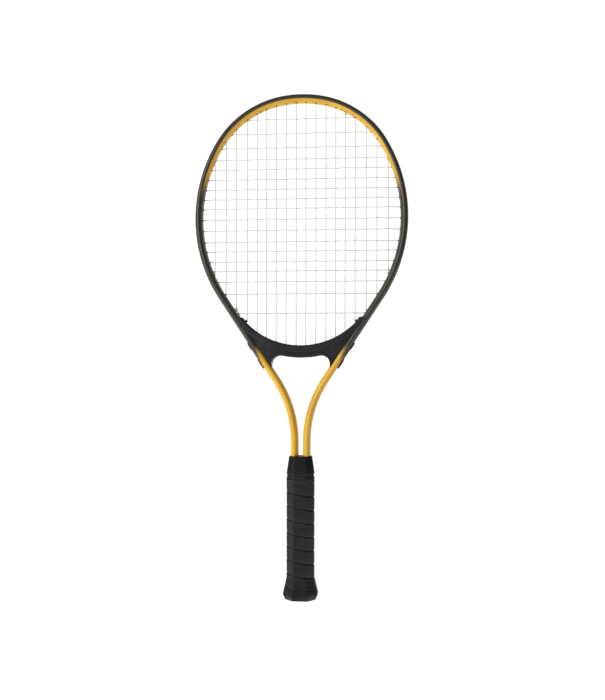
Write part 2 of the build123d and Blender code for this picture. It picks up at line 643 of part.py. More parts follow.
def mains_route():
    """The mains from the upper left to the tie-off hole at the upper right."""
    y = -STRING_PLANE
    points = [channel_point(MAIN_HOLES[0][0].s + CHANNEL_LEAD, y)]
    for index, (m, (top, bottom)) in enumerate(zip(MAINS, MAIN_HOLES)):
        down = index % 2 == 0
        top_points = hole_route(top, y, not down)
        bottom_points = (hole_route(bottom, y, down) if bottom else bridge_route(m, y, down))
        points += top_points + bottom_points if down else bottom_points + top_points
        if index == len(MAINS) - 1:
            continue
        following = MAIN_HOLES[index + 1]
        if not down:
            points.append(channel_point((top.s + following[0].s) / 2, y))
        elif bottom:
            points.append(channel_point((bottom.s + following[1].s) / 2, y))
        else:
            middle_x = (m + MAINS[index + 1]) / 2
            points.append(bridge_route(middle_x, y, True)[1])
    tie = tie_tops[1]
    last = MAIN_HOLES[-1][0].s
    for share in TAIL_SHARES:
        points.append(channel_point(last + (tie.s - last) * share, y, STRING_DIAMETER))
    return points + hole_route(tie, y, False)


def crosses_route():
    """The crosses, from the end of the mains' lead to the tie-off hole at the lower left."""
    y = STRING_PLANE
    lead = MAIN_HOLES[0][0].s + CHANNEL_LEAD
    points = [channel_point(lead, -y), channel_point(lead + CHANNEL_LEAD, -y),
              channel_point(lead + 2 * CHANNEL_LEAD, y)]
    first = CROSS_HOLES[0][0].s
    points += [channel_point(lead + (first - lead) * share, y, STRING_DIAMETER)
               for share in TAIL_SHARES[1:]]
    for index, (left, right) in enumerate(CROSS_HOLES):
        rightwards = index % 2 == 0
        entry, leave = (left, right) if rightwards else (right, left)
        points += hole_route(entry, y, False) + hole_route(leave, y, True)
        if index < len(CROSS_HOLES) - 1:
            following = CROSS_HOLES[index + 1][1 if rightwards else 0]
            points.append(channel_point((leave.s + following.s) / 2, y))
    points.append(channel_point((CROSS_HOLES[-1][0].s + tie_bottom.s) / 2, y))
    return points + hole_route(tie_bottom, y, False)


write_string(mains_route(), "main_string")
write_string(crosses_route(), "cross_string")

with BuildPart() as tie_off_knots:
    for m, height in ((TIE_MAIN, -KNOT_REACH), (LAST_TIE_MAIN, KNOT_REACH)):
        hole = MAIN_HOLES[MAINS.index(m)][0 if m > 0 else 1]
        for turn in range(2):
            z = hole.mouth[1] + height + math.copysign(turn * KNOT_PITCH, height)
            with Locations((m, -STRING_PLANE, z)):
                Torus(KNOT_RADIUS, STRING_DIAMETER / 2)
write(tie_off_knots, "tie_off_knots")

# ---------------------------------------------------------------- handle
def octagon(section, z):
    """An octagon, given as (width, depth, corner facet), at a height."""
    width, depth, facet = section
    with BuildSketch(Plane.XY.offset(z)) as outline:
        Rectangle(width, depth)
        chamfer(outline.vertices(), facet)
    return outline.sketch


def shaft_ovals(z):
    """The outlines of both shafts at a height."""
    with BuildSketch(Plane.XY.offset(z)) as ovals:
        with Locations((-SHAFT_X, 0), (SHAFT_X, 0)):
            Ellipse(HALF_WIDTH, TUBE_DEPTH / 2)
    return ovals.sketch


def prism(section, z_from, z_to, mode=Mode.ADD):
    """An octagonal prism in the open part."""
    extrude(octagon(section, z_from), amount=z_to - z_from, mode=mode)


def taper(low_section, z_low, high_section, z_high, mode=Mode.ADD):
    """An octagonal taper in the open part."""
    loft([octagon(low_section, z_low), octagon(high_section, z_high)], ruled=True, mode=mode)


with BuildPart() as butt_staples:
    for side in (-1, 1):
        crown_x = side * STAPLE_FACE_X
        with BuildSketch(Plane.YZ.offset(crown_x)):
            with Locations((0, STAPLE_Z)):
                Rectangle(STAPLE_SPAN, STAPLE_WIRE)
        extrude(amount=-side * STAPLE_WIRE)
        with BuildSketch(Plane.YZ.offset(crown_x)):
            with Locations(*[(y, STAPLE_Z) for y in (-STAPLE_SPAN / 2 + STAPLE_WIRE / 2,
                                                     STAPLE_SPAN / 2 - STAPLE_WIRE / 2)]):
                Rectangle(STAPLE_WIRE, STAPLE_WIRE)
        extrude(amount=-side * STAPLE_LEG)
write(butt_staples, "butt_staples")

with BuildPart() as handle_core:
    prism(SHELL_SECTION, SHELL_FROM_Z, SHELL_TO_Z)
    extrude(shaft_ovals(TUBE_END_Z), amount=SHELL_TO_Z - TUBE_END_Z, mode=Mode.SUBTRACT)
    for z in HANDLE_SCREW_Z:
        with Locations(Plane(origin=(0, -SHELL_SECTION[1] / 2, z), z_dir=(0, -1, 0)).location):
            CounterBoreHole(HANDLE_SCREW_DIAMETER / 2, HANDLE_SCREW_HEAD / 2, SCREW_HEAD_HEIGHT,
                            depth=HANDLE_SCREW_LENGTH)
    add(butt_staples.part, mode=Mode.SUBTRACT)
for keep, name in ((Keep.TOP, "handle_shell_front"), (Keep.BOTTOM, "handle_shell_back")):
    with BuildPart() as shell:
        add(handle_core.part)
        split(bisect_by=Plane.XZ, keep=keep)
    write(shell, name)

with BuildPart() as handle_screws:
    for z in HANDLE_SCREW_Z:
        front = Plane(origin=(0, -SHELL_SECTION[1] / 2, z), z_dir=(0, 1, 0))
        with BuildSketch(front):
            Circle(HANDLE_SCREW_DIAMETER / 2)
        extrude(amount=HANDLE_SCREW_LENGTH)
        with BuildSketch(front):
            Circle(HANDLE_SCREW_HEAD / 2)
        extrude(amount=SCREW_HEAD_HEIGHT)
        with BuildSketch(front):
            Rectangle(SCREW_SLOT_LENGTH, SCREW_SLOT_WIDTH)
            Rectangle(SCREW_SLOT_WIDTH, SCREW_SLOT_LENGTH)
        extrude(amount=SCREW_RECESS, mode=Mode.SUBTRACT)
write(handle_screws, "handle_screws")

with BuildPart() as handle_collar:
    taper(COLLAR_FOOT_SECTION, COLLAR_FOOT_Z, COLLAR_TOP_SECTION, COLLAR_TOP_Z)
    prism(COLLAR_NECK_SECTION, SHELL_TO_Z, COLLAR_FOOT_Z)
    extrude(shaft_ovals(SHELL_TO_Z), amount=COLLAR_TOP_Z - SHELL_TO_Z, mode=Mode.SUBTRACT)
write(handle_collar, "handle_collar")

with BuildPart() as butt_cap:
    taper(BUTT_FOOT_SECTION, 0.0, BUTT_WIDEST_SECTION, BUTT_WIDEST_Z)
    taper(BUTT_WIDEST_SECTION, BUTT_WIDEST_Z, BUTT_SHOULDER_SECTION, GRIP_FROM_Z)
    taper(BUTT_SKIRT_SECTION, GRIP_FROM_Z, BUTT_SKIRT_TOP_SECTION, BUTT_SKIRT_TOP_Z)
    prism(SHELL_SECTION, SHELL_FROM_Z, BUTT_SKIRT_TOP_Z, Mode.SUBTRACT)
    add(butt_staples.part, mode=Mode.SUBTRACT)
write(butt_cap, "butt_cap")

with BuildPart() as grip_wrap:
    taper(GRIP_FOOT_SECTION, GRIP_FROM_Z, GRIP_WAIST_SECTION, GRIP_WAIST_Z)
    taper(GRIP_WAIST_SECTION, GRIP_WAIST_Z, GRIP_SECTION, GRIP_FLARE_Z)
    prism(GRIP_SECTION, GRIP_FLARE_Z, GRIP_TO_Z)
    prism(SHELL_SECTION, GRIP_FROM_Z, SHELL_TO_Z, Mode.SUBTRACT)
    prism(COLLAR_NECK_SECTION, SHELL_TO_Z, GRIP_TO_Z, Mode.SUBTRACT)
    taper(BUTT_SKIRT_SECTION, GRIP_FROM_Z, BUTT_SKIRT_TOP_SECTION, BUTT_SKIRT_TOP_Z,
          Mode.SUBTRACT)
    add(butt_staples.part, mode=Mode.SUBTRACT)
write(grip_wrap, "grip_wrap")

with BuildPart() as finishing_tape:
    prism(TAPE_SECTION, TAPE_FROM_Z, TAPE_TO_Z)
    prism(GRIP_SECTION, TAPE_FROM_Z, GRIP_TO_Z, Mode.SUBTRACT)
    prism(COLLAR_NECK_SECTION, GRIP_TO_Z, TAPE_TO_Z, Mode.SUBTRACT)
write(finishing_tape, "finishing_tape")
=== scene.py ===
"""A strung tennis racket: painted tube frame, moulded throat bridge, woven strings, wrapped grip."""

import logging
import math
from dataclasses import dataclass, field
from enum import Enum

import bmesh
import bpy
import numpy as np
from mathutils import Euler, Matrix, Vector


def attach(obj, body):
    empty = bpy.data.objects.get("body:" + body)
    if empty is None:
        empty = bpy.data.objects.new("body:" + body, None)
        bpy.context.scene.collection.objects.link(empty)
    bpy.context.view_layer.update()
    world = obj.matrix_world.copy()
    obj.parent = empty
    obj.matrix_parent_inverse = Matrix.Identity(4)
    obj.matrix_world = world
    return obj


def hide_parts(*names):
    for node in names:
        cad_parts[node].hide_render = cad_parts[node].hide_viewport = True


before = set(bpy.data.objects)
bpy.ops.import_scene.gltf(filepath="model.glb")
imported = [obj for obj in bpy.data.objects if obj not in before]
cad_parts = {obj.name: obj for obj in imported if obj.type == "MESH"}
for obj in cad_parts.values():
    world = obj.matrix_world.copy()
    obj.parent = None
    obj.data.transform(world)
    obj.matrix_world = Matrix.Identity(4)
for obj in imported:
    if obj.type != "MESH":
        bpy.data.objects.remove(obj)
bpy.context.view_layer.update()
LOG = logging.getLogger("racket")
MM = 0.001


class Side(Enum):
    """Which half of the racket a hole belongs to, as the sign of its X."""

    LEFT = -1
    RIGHT = 1


# ---------------------------------------------------------------- small helpers
def linear(colour: str) -> tuple[float, float, float, float]:
    """Turn an sRGB hex colour to linear.

    Args:
        colour: Six hex digits, such as "E0AE3C".

    Returns:
        Linear red, green and blue, and an alpha of 1.
    """
    shares = [int(colour[i:i + 2], 16) / 255 for i in (0, 2, 4)]
    return (*[c / 12.92 if c <= 0.04045 else ((c + 0.055) / 1.055) ** 2.4 for c in shares], 1.0)


def add_node(tree: bpy.types.NodeTree, kind: str, inputs: dict | None = None,
             **settings: object) -> bpy.types.Node:
    """Add a node with its settings, values and links.

    Args:
        tree: The node tree that gets it.
        kind: The node's type name.
        inputs: Input name or index to a value, or to the socket that feeds it.
        **settings: The node's own properties.

    Returns:
        The new node.
    """
    made = tree.nodes.new(kind)
    for name, value in settings.items():
        setattr(made, name, value)
    for key, value in (inputs or {}).items():
        if isinstance(value, bpy.types.NodeSocket):
            tree.links.new(value, made.inputs[key])
        else:
            made.inputs[key].default_value = value
    return made


def smoothstep(value: np.ndarray, low: float, high: float) -> np.ndarray:
    """Rise smoothly from 0 at low to 1 at high."""
    share = np.clip((np.asarray(value, float) - low) / (high - low), 0, 1)
    return share * share * (3 - 2 * share)


def set_values(mesh: bpy.types.Mesh, values: dict[str, np.ndarray]) -> None:
    """Give a mesh its attributes.

    Args:
        mesh: The mesh that gets them.
        values: Attribute name to one number for each corner.
    """
    for key, column in values.items():
        mesh.attributes.new(key, "FLOAT", "POINT").data.foreach_set(
            "value", np.asarray(column, np.float32))


def finish_mesh(mesh: bpy.types.Mesh, sharp: float) -> None:
    """Turn a mesh's faces outwards and shade it smooth but for its sharp edges.

    Args:
        mesh: The mesh to finish.
        sharp: Degrees of turn above which an edge stays crisp.
    """
    work = bmesh.new()
    work.from_mesh(mesh)
    bmesh.ops.recalc_face_normals(work, faces=work.faces)
    work.to_mesh(mesh)
    work.free()
    mesh.shade_smooth()
    mesh.set_sharp_from_angle(angle=math.radians(sharp))


def make_object(name: str, points: np.ndarray, edges: list, faces: list,
                values: dict[str, np.ndarray]) -> bpy.types.Object:
    """Make a mesh object at the origin.

    Args:
        name: The object's name.
        points: Its corners in millimetres, one row each.
        edges: Index pairs, for a path with no faces.
        faces: Corner indices of each face.
        values: Attribute name to one number for each corner.

    Returns:
        The new object.
    """
    mesh = bpy.data.meshes.new(name)
    mesh.from_pydata((np.asarray(points, float) * MM).tolist(), edges, faces)
    set_values(mesh, values)
    made = bpy.data.objects.new(name, mesh)
    bpy.context.scene.collection.objects.link(made)
    return made


def make_line(name: str, points: np.ndarray, closed: bool,
              values: dict[str, np.ndarray]) -> bpy.types.Object:
    """Make a path or an outline, which a sweep uses up.

    Args:
        name: The helper's name.
        points: Its points in millimetres, in order.
        closed: Whether the last point joins the first.
        values: Attribute name to one number for each point.

    Returns:
        The helper object.
    """
    steps = [(i, i + 1) for i in range(len(points) - 1)]
    return make_object(name, points, steps + [(len(points) - 1, 0)] * closed, [], values)


def dress(piece: bpy.types.Object, material: bpy.types.Material, slot: str,
          *nodes: str) -> bpy.types.Object:
    """Give a piece its finish, its body and the CAD nodes that it stands for.

    Args:
        piece: The finished piece.
        material: Its material.
        slot: The record's material slot; not used.
        *nodes: CAD nodes that the piece replaces.

    Returns:
        The same piece.
    """
    piece.data.materials.clear()
    piece.data.materials.append(material)
    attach(piece, "root")
    if nodes:
        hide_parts(*nodes)
    LOG.info("%s: %d faces, %s", piece.name, len(piece.data.polygons), material.name)
    return piece


def dress_cad(material: bpy.types.Material, *nodes: str) -> None:
    """Give CAD nodes whose shape is right their finish."""
    for name in nodes:
        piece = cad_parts[name]
        piece.data.materials.clear()
        piece.data.materials.append(material)
        LOG.info("%s: CAD shape, %s", name, material.name)


# ---------------------------------------------------------------- finishes
@dataclass
class Skin:
    """A material that is being built: its node tree, its shader and where it reads its place."""

    name: str
    made: bpy.types.Material = field(init=False)
    tree: bpy.types.NodeTree = field(init=False)
    shader: bpy.types.Node = field(init=False)
    place: bpy.types.NodeSocket = field(init=False)

    def __post_init__(self) -> None:
        """Start the material with a shader and Object coordinates."""
        self.made = bpy.data.materials.new(self.name)
        self.made.use_nodes = True
        self.tree = self.made.node_tree
        self.shader = self.tree.nodes["Principled BSDF"]
        self.place = add_node(self.tree, "ShaderNodeTexCoord").outputs["Object"]

    def noise(self, size_mm: float, detail: float = 2.0,
              stretch: tuple = (1.0, 1.0, 1.0)) -> bpy.types.NodeSocket:
        """Add noise of a real size.

        Args:
            size_mm: Width of one blotch or grain.
            detail: Octaves of finer noise on top.
            stretch: How much finer it is along each axis.

        Returns:
            The noise's value, about 0.3 to 0.7.
        """
        laid = add_node(self.tree, "ShaderNodeMapping", {"Vector": self.place, "Scale": stretch})
        return add_node(self.tree, "ShaderNodeTexNoise", {
            "Vector": laid.outputs["Vector"], "Scale": 1 / (size_mm * MM),
            "Detail": detail}).outputs["Fac"]

    def mix(self, share: bpy.types.NodeSocket, low: object,
            high: object) -> bpy.types.NodeSocket:
        """Mix two colours.

        Args:
            share: How much of the second colour shows.
            low: The first colour, as hex or a socket.
            high: The second colour, as hex or a socket.

        Returns:
            The mixed colour.
        """
        low, high = [linear(c) if isinstance(c, str) else c for c in (low, high)]
        return add_node(self.tree, "ShaderNodeMix", {0: share, 6: low, 7: high},
                        data_type="RGBA").outputs[2]

    def spread(self, value: bpy.types.NodeSocket, low: float, high: float,
               from_low: float = 0.3, from_high: float = 0.7) -> bpy.types.NodeSocket:
        """Stretch a noise's range.

        Args:
            value: The noise's value.
            low: What the lower end becomes.
            high: What the upper end becomes.
            from_low: The noise's own lower end.
            from_high: The noise's own upper end.

        Returns:
            A value that runs smoothly from low to high.
        """
        return add_node(self.tree, "ShaderNodeMapRange", {
            "Value": value, "From Min": from_low, "From Max": from_high, "To Min": low,
            "To Max": high}, interpolation_type="SMOOTHSTEP").outputs["Result"]

    def relief(self, height: bpy.types.NodeSocket, depth_mm: float,
               strength: float) -> bpy.types.NodeSocket:
        """Turn a height to a bumped normal of a real depth.

        Args:
            height: The height, 0 to 1.
            depth_mm: What a height of 1 stands for.
            strength: How much of the bump shows.

        Returns:
            The normal.
        """
        return add_node(self.tree, "ShaderNodeBump", {
            "Height": height, "Distance": depth_mm * MM, "Strength": strength}).outputs["Normal"]

    def finish(self, colour: bpy.types.NodeSocket, roughness: bpy.types.NodeSocket,
               normal: bpy.types.NodeSocket, **fixed: float) -> bpy.types.Material:
        """Link what varies, set what doesn't, and close the material.

        Args:
            colour: The base colour.
            roughness: The roughness.
            normal: The bumped normal.
            **fixed: Shader socket name, with _ for a space, to its value.

        Returns:
            The finished material.
        """
        for socket, value in (("Base Color", colour), ("Roughness", roughness),
                              ("Normal", normal)):
            self.tree.links.new(value, self.shader.inputs[socket])
        for name, value in fixed.items():
            self.shader.inputs[name.replace("_", " ")].default_value = value
        return self.made


@dataclass(frozen=True)
class MouldedPlastic:
    """Injection moulded plastic or rubber with a spark-eroded grain."""

    name: str
    colour: str
    worn: str
    roughness: float
    grain_mm: float
    relief: float

    def material(self) -> bpy.types.Material:
        """A dark skin whose grain breaks up the light, with a tone that drifts where hands rub."""
        skin = Skin(self.name)
        drift = skin.noise(24.0, 3.0)
        grain = skin.noise(self.grain_mm)
        colour = skin.mix(skin.spread(drift, 0.0, 1.0), self.colour, self.worn)
        roughness = skin.spread(drift, self.roughness + 0.07, self.roughness - 0.07)
        return skin.finish(colour, roughness, skin.relief(grain, 0.06, self.relief),
                           Specular_IOR_Level=0.22)


@dataclass(frozen=True)
class SprayedEnamel:
    """Gloss enamel on aluminium: golden yellow, with gunmetal sprayed over it and faded out."""

    name: str = "enamel_gunmetal_over_golden_yellow"
    yellow: str = "DFB134"
    amber: str = "D3A128"
    gunmetal: str = "2A2723"
    flake: str = "3E3933"
    roughness: float = 0.34

    def material(self) -> bpy.types.Material:
        """The spray's own droplets break up the soft edge, and fine flake lights the gunmetal."""
        skin = Skin(self.name)
        cover = add_node(skin.tree, "ShaderNodeAttribute", attribute_name="gunmetal")
        # Spray mist: droplets of about 0.5 mm, drawn at 0.8 mm so that they show.
        mist = skin.noise(0.8, 1.0)
        ragged = add_node(skin.tree, "ShaderNodeMath", {
            0: mist, 1: 0.35, 2: cover.outputs["Fac"]}, operation="MULTIPLY_ADD")
        covered = skin.spread(ragged.outputs[0], 0.0, 1.0, 0.17, 1.17)
        # Metal flake is finer than 0.1 mm, and is drawn at 0.5 mm.
        flake = skin.mix(skin.spread(skin.noise(0.5, 2.0), 0.0, 1.0), self.gunmetal, self.flake)
        yellow = skin.mix(skin.spread(skin.noise(30.0, 2.0), 0.0, 1.0), self.yellow, self.amber)
        colour = skin.mix(covered, yellow, flake)
        roughness = skin.spread(skin.noise(12.0, 3.0), self.roughness - 0.04,
                                self.roughness + 0.06)
        # Orange peel of sprayed enamel: ripples some 2 mm across.
        normal = skin.relief(skin.noise(2.0, 1.0), 0.02, 0.35)
        return skin.finish(colour, roughness, normal, Coat_Weight=0.1, Coat_Roughness=0.12,
                           Specular_IOR_Level=0.3)


@dataclass(frozen=True)
class Monofilament:
    """Extruded nylon string, clear white and slightly milky."""

    name: str = "nylon_monofilament_clear_white"
    colour: str = "D8D8D5"
    shade: str = "CACAC6"

    def material(self) -> bpy.types.Material:
        """A pale waxy thread with a faint cloudiness and a soft shine along it."""
        skin = Skin(self.name)
        cloud = skin.noise(6.0, 2.0)
        colour = skin.mix(skin.spread(cloud, 0.0, 1.0), self.colour, self.shade)
        roughness = skin.spread(cloud, 0.3, 0.42)
        return skin.finish(colour, roughness, skin.relief(skin.noise(0.6), 0.01, 0.3),
                           IOR=1.53)


@dataclass(frozen=True)
class SyntheticLeather:
    """Polyurethane grip band with a fine pebbled skin."""

    name: str = "polyurethane_grip_band_black"
    colour: str = "0D0D0F"
    worn: str = "19191B"
    roughness: float = 0.4

    def material(self) -> bpy.types.Material:
        """Pebbles of a quarter of a millimetre, drawn at 0.7 mm, dull with paler rubbed patches."""
        skin = Skin(self.name)
        drift = skin.noise(16.0, 4.0)
        pebble = skin.noise(0.7, 2.0)
        colour = skin.mix(skin.spread(drift, 0.0, 1.0), self.colour, self.worn)
        roughness = skin.spread(pebble, self.roughness - 0.06, self.roughness + 0.08)
        return skin.finish(colour, roughness, skin.relief(pebble, 0.05, 0.4),
                           Specular_IOR_Level=0.26)


@dataclass(frozen=True)
class VinylTape:
    """Stretched PVC finishing tape."""

    name: str = "pvc_finishing_tape_black"
    colour: str = "0C0C0D"
    stretched: str = "18181A"

    def material(self) -> bpy.types.Material:
        """Semi-gloss, with fine stretch lines round the handle."""
        skin = Skin(self.name)
        lines = skin.noise(3.0, 3.0, (0.15, 0.15, 2.5))
        colour = skin.mix(skin.spread(lines, 0.0, 1.0), self.colour, self.stretched)
        return skin.finish(colour, skin.spread(lines, 0.26, 0.42),
                           skin.relief(lines, 0.12, 0.5), Specular_IOR_Level=0.3)


@dataclass(frozen=True)
class PlatedSteel:
    """Zinc plated steel, as on a pan head screw or a staple."""

    name: str = "zinc_plated_steel"
    colour: str = "8E8F90"
    dull: str = "6F7072"

    def material(self) -> bpy.types.Material:
        """Grey metal with cloudy plating."""
        skin = Skin(self.name)
        cloud = skin.noise(1.5, 3.0)
        colour = skin.mix(skin.spread(cloud, 0.0, 1.0), self.colour, self.dull)
        return skin.finish(colour, skin.spread(cloud, 0.25, 0.45),
                           skin.relief(skin.noise(0.4), 0.01, 0.3), Metallic=1.0)


@dataclass(frozen=True)
class PaperSweep:
    """Matt paper that is also lit from behind, so that it shows plain white."""

    name: str = "background_paper_white"
    colour: str = "A8A8A8"
    fibre: str = "A2A2A1"

    def material(self) -> bpy.types.Material:
        """Even, with a trace of paper fibre."""
        skin = Skin(self.name)
        fibre = skin.noise(4.0, 3.0)
        colour = skin.mix(skin.spread(fibre, 0.0, 1.0), self.colour, self.fibre)
        return skin.finish(colour, skin.spread(fibre, 0.9, 1.0), skin.relief(fibre, 0.01, 0.1),
                           Emission_Color=linear("FFFFFF"), Emission_Strength=0.86)


# ---------------------------------------------------------------- Geometry Nodes
@dataclass
class SweepTree:
    """A Geometry Nodes tree that draws an outline along a path that lies about the XZ plane."""

    tree: bpy.types.NodeTree = field(init=False)

    def __post_init__(self) -> None:
        """Build the tree with named inputs for the outline, its two sizes and the finish."""
        self.tree = bpy.data.node_groups.new("sweep_outline_along_path", "GeometryNodeTree")
        sockets = self.tree.interface
        for name, kind, way in (
                ("Path", "NodeSocketGeometry", "INPUT"), ("Outline", "NodeSocketObject", "INPUT"),
                ("Across", "NodeSocketFloat", "INPUT"), ("Deep", "NodeSocketFloat", "INPUT"),
                ("Finish", "NodeSocketMaterial", "INPUT"),
                ("Swept", "NodeSocketGeometry", "OUTPUT")):
            sockets.new_socket(name, in_out=way, socket_type=kind)
        given = add_node(self.tree, "NodeGroupInput").outputs
        path = add_node(self.tree, "GeometryNodeMeshToCurve", {"Mesh": given["Path"]})
        steady = add_node(self.tree, "GeometryNodeSetCurveNormal", {
            "Curve": path.outputs["Curve"], "Normal": (0.0, 1.0, 0.0)}, mode="FREE")
        seen = add_node(self.tree, "GeometryNodeObjectInfo", {"Object": given["Outline"]})
        sizes = add_node(self.tree, "ShaderNodeCombineXYZ", {
            "X": given["Deep"], "Y": given["Across"], "Z": 1.0})
        ring = add_node(self.tree, "GeometryNodeMeshToCurve", {
            "Mesh": seen.outputs["Geometry"]})
        sized = add_node(self.tree, "GeometryNodeTransform", {
            "Geometry": ring.outputs["Curve"], "Scale": sizes.outputs["Vector"]})
        swept = add_node(self.tree, "GeometryNodeCurveToMesh", {
            "Curve": steady.outputs["Curve"], "Profile Curve": sized.outputs["Geometry"],
            "Fill Caps": True})
        whole = add_node(self.tree, "GeometryNodeRealizeInstances", {
            "Geometry": swept.outputs["Mesh"]})
        coated = add_node(self.tree, "GeometryNodeSetMaterial", {
            "Geometry": whole.outputs["Geometry"], "Material": given["Finish"]})
        add_node(self.tree, "NodeGroupOutput", {"Swept": coated.outputs["Geometry"]})

    def sweep(self, name: str, path: bpy.types.Object, outline: bpy.types.Object, across_mm: float,
              deep_mm: float, material: bpy.types.Material, sharp: float) -> bpy.types.Object:
        """Sweep an outline along a path, and use both up.

        Args:
            name: The piece's name.
            path: The path, a mesh of edges.
            outline: A closed outline of unit size in its own XY plane.
            across_mm: Its size in the racket's plane.
            deep_mm: Its size along Y.
            material: The finish.
            sharp: Degrees of turn above which an edge stays crisp.

        Returns:
            The piece, a plain mesh at the origin.
        """
        piece = run_tree(self.tree, name, path, {
            "Outline": outline, "Across": across_mm * MM, "Deep": deep_mm * MM,
            "Finish": material}, sharp)
        bpy.data.objects.remove(outline)
        return piece


def run_tree(tree: bpy.types.NodeTree, name: str, source: bpy.types.Object,
             values: dict[str, object], sharp: float) -> bpy.types.Object:
    """Run a Geometry Nodes tree on an object and keep its result as a plain mesh.

    Args:
        tree: The tree.
        name: The name of the piece that it makes.
        source: The object that it starts from, which is used up.
        values: Input name to value.
        sharp: Degrees of turn above which an edge stays crisp.

    Returns:
        The piece, with no modifier left.
    """
    modifier = source.modifiers.new(tree.name, "NODES")
    modifier.node_group = tree
    for item in tree.interface.items_tree:
        if item.item_type == "SOCKET" and item.in_out == "INPUT" and item.name in values:
            modifier[item.identifier] = values[item.name]
    seen = source.evaluated_get(bpy.context.evaluated_depsgraph_get())
    mesh = bpy.data.meshes.new_from_object(seen)
    source.modifiers.remove(modifier)
    bpy.data.objects.remove(source)
    mesh.name = name
    finish_mesh(mesh, sharp)
    piece = bpy.data.objects.new(name, mesh)
    bpy.context.scene.collection.objects.link(piece)
    return piece


@dataclass
class ScatterTree:
    """A Geometry Nodes tree that sets a small part on each point of a mesh, turned to its aim."""

    tree: bpy.types.NodeTree = field(init=False)

    def __post_init__(self) -> None:
        """Build the tree with named inputs for the part, its size and the finish."""
        self.tree = bpy.data.node_groups.new("set_part_on_points", "GeometryNodeTree")
        sockets = self.tree.interface
        for name, kind, way in (
                ("Points", "NodeSocketGeometry", "INPUT"), ("Part", "NodeSocketObject", "INPUT"),
                ("Size", "NodeSocketFloat", "INPUT"), ("Finish", "NodeSocketMaterial", "INPUT"),
                ("Placed", "NodeSocketGeometry", "OUTPUT")):
            sockets.new_socket(name, in_out=way, socket_type=kind)
        given = add_node(self.tree, "NodeGroupInput").outputs
        points = add_node(self.tree, "GeometryNodeMeshToPoints", {"Mesh": given["Points"]})
        parts = [add_node(self.tree, "GeometryNodeInputNamedAttribute", {"Name": name},
                          data_type="FLOAT").outputs["Attribute"] for name in ("aim_x", "aim_z")]
        aim = add_node(self.tree, "ShaderNodeCombineXYZ", {"X": parts[0], "Z": parts[1]})
        turn = add_node(self.tree, "FunctionNodeAlignRotationToVector", {
            "Vector": aim.outputs["Vector"]}, axis="Z")
        part = add_node(self.tree, "GeometryNodeObjectInfo", {"Object": given["Part"]})
        placed = add_node(self.tree, "GeometryNodeInstanceOnPoints", {
            "Points": points.outputs["Points"], "Instance": part.outputs["Geometry"],
            "Rotation": turn.outputs["Rotation"], "Scale": given["Size"]})
        whole = add_node(self.tree, "GeometryNodeRealizeInstances", {
            "Geometry": placed.outputs["Instances"]})
        coated = add_node(self.tree, "GeometryNodeSetMaterial", {
            "Geometry": whole.outputs["Geometry"], "Material": given["Finish"]})
        add_node(self.tree, "NodeGroupOutput", {"Placed": coated.outputs["Geometry"]})


# ---------------------------------------------------------------- layout of tube and strings
@dataclass(frozen=True)
class Bend:
    """An arc or straight run of the tube's centreline; a radius of 0 is a straight run."""

    x: float
    z: float
    radius: float
    phi: float
    length: float
    start: float

    def at(self, along: float, offset: float) -> tuple[float, float, float]:
        """Place along the bend.

        Args:
            along: Length from the bend's start, in millimetres.
            offset: Distance outwards from the centreline.

        Returns:
            X, Z and the heading there, in degrees.
        """
        if self.radius == 0:
            nx, nz = math.sin(math.radians(self.phi)), math.cos(math.radians(self.phi))
            return self.x + along * nz + offset * nx, self.z - along * nx + offset * nz, self.phi
        phi = self.phi + math.degrees(along / self.radius)
        reach = self.radius + offset
        return (self.x + reach * math.sin(math.radians(phi)),
                self.z + reach * math.cos(math.radians(phi)), phi)


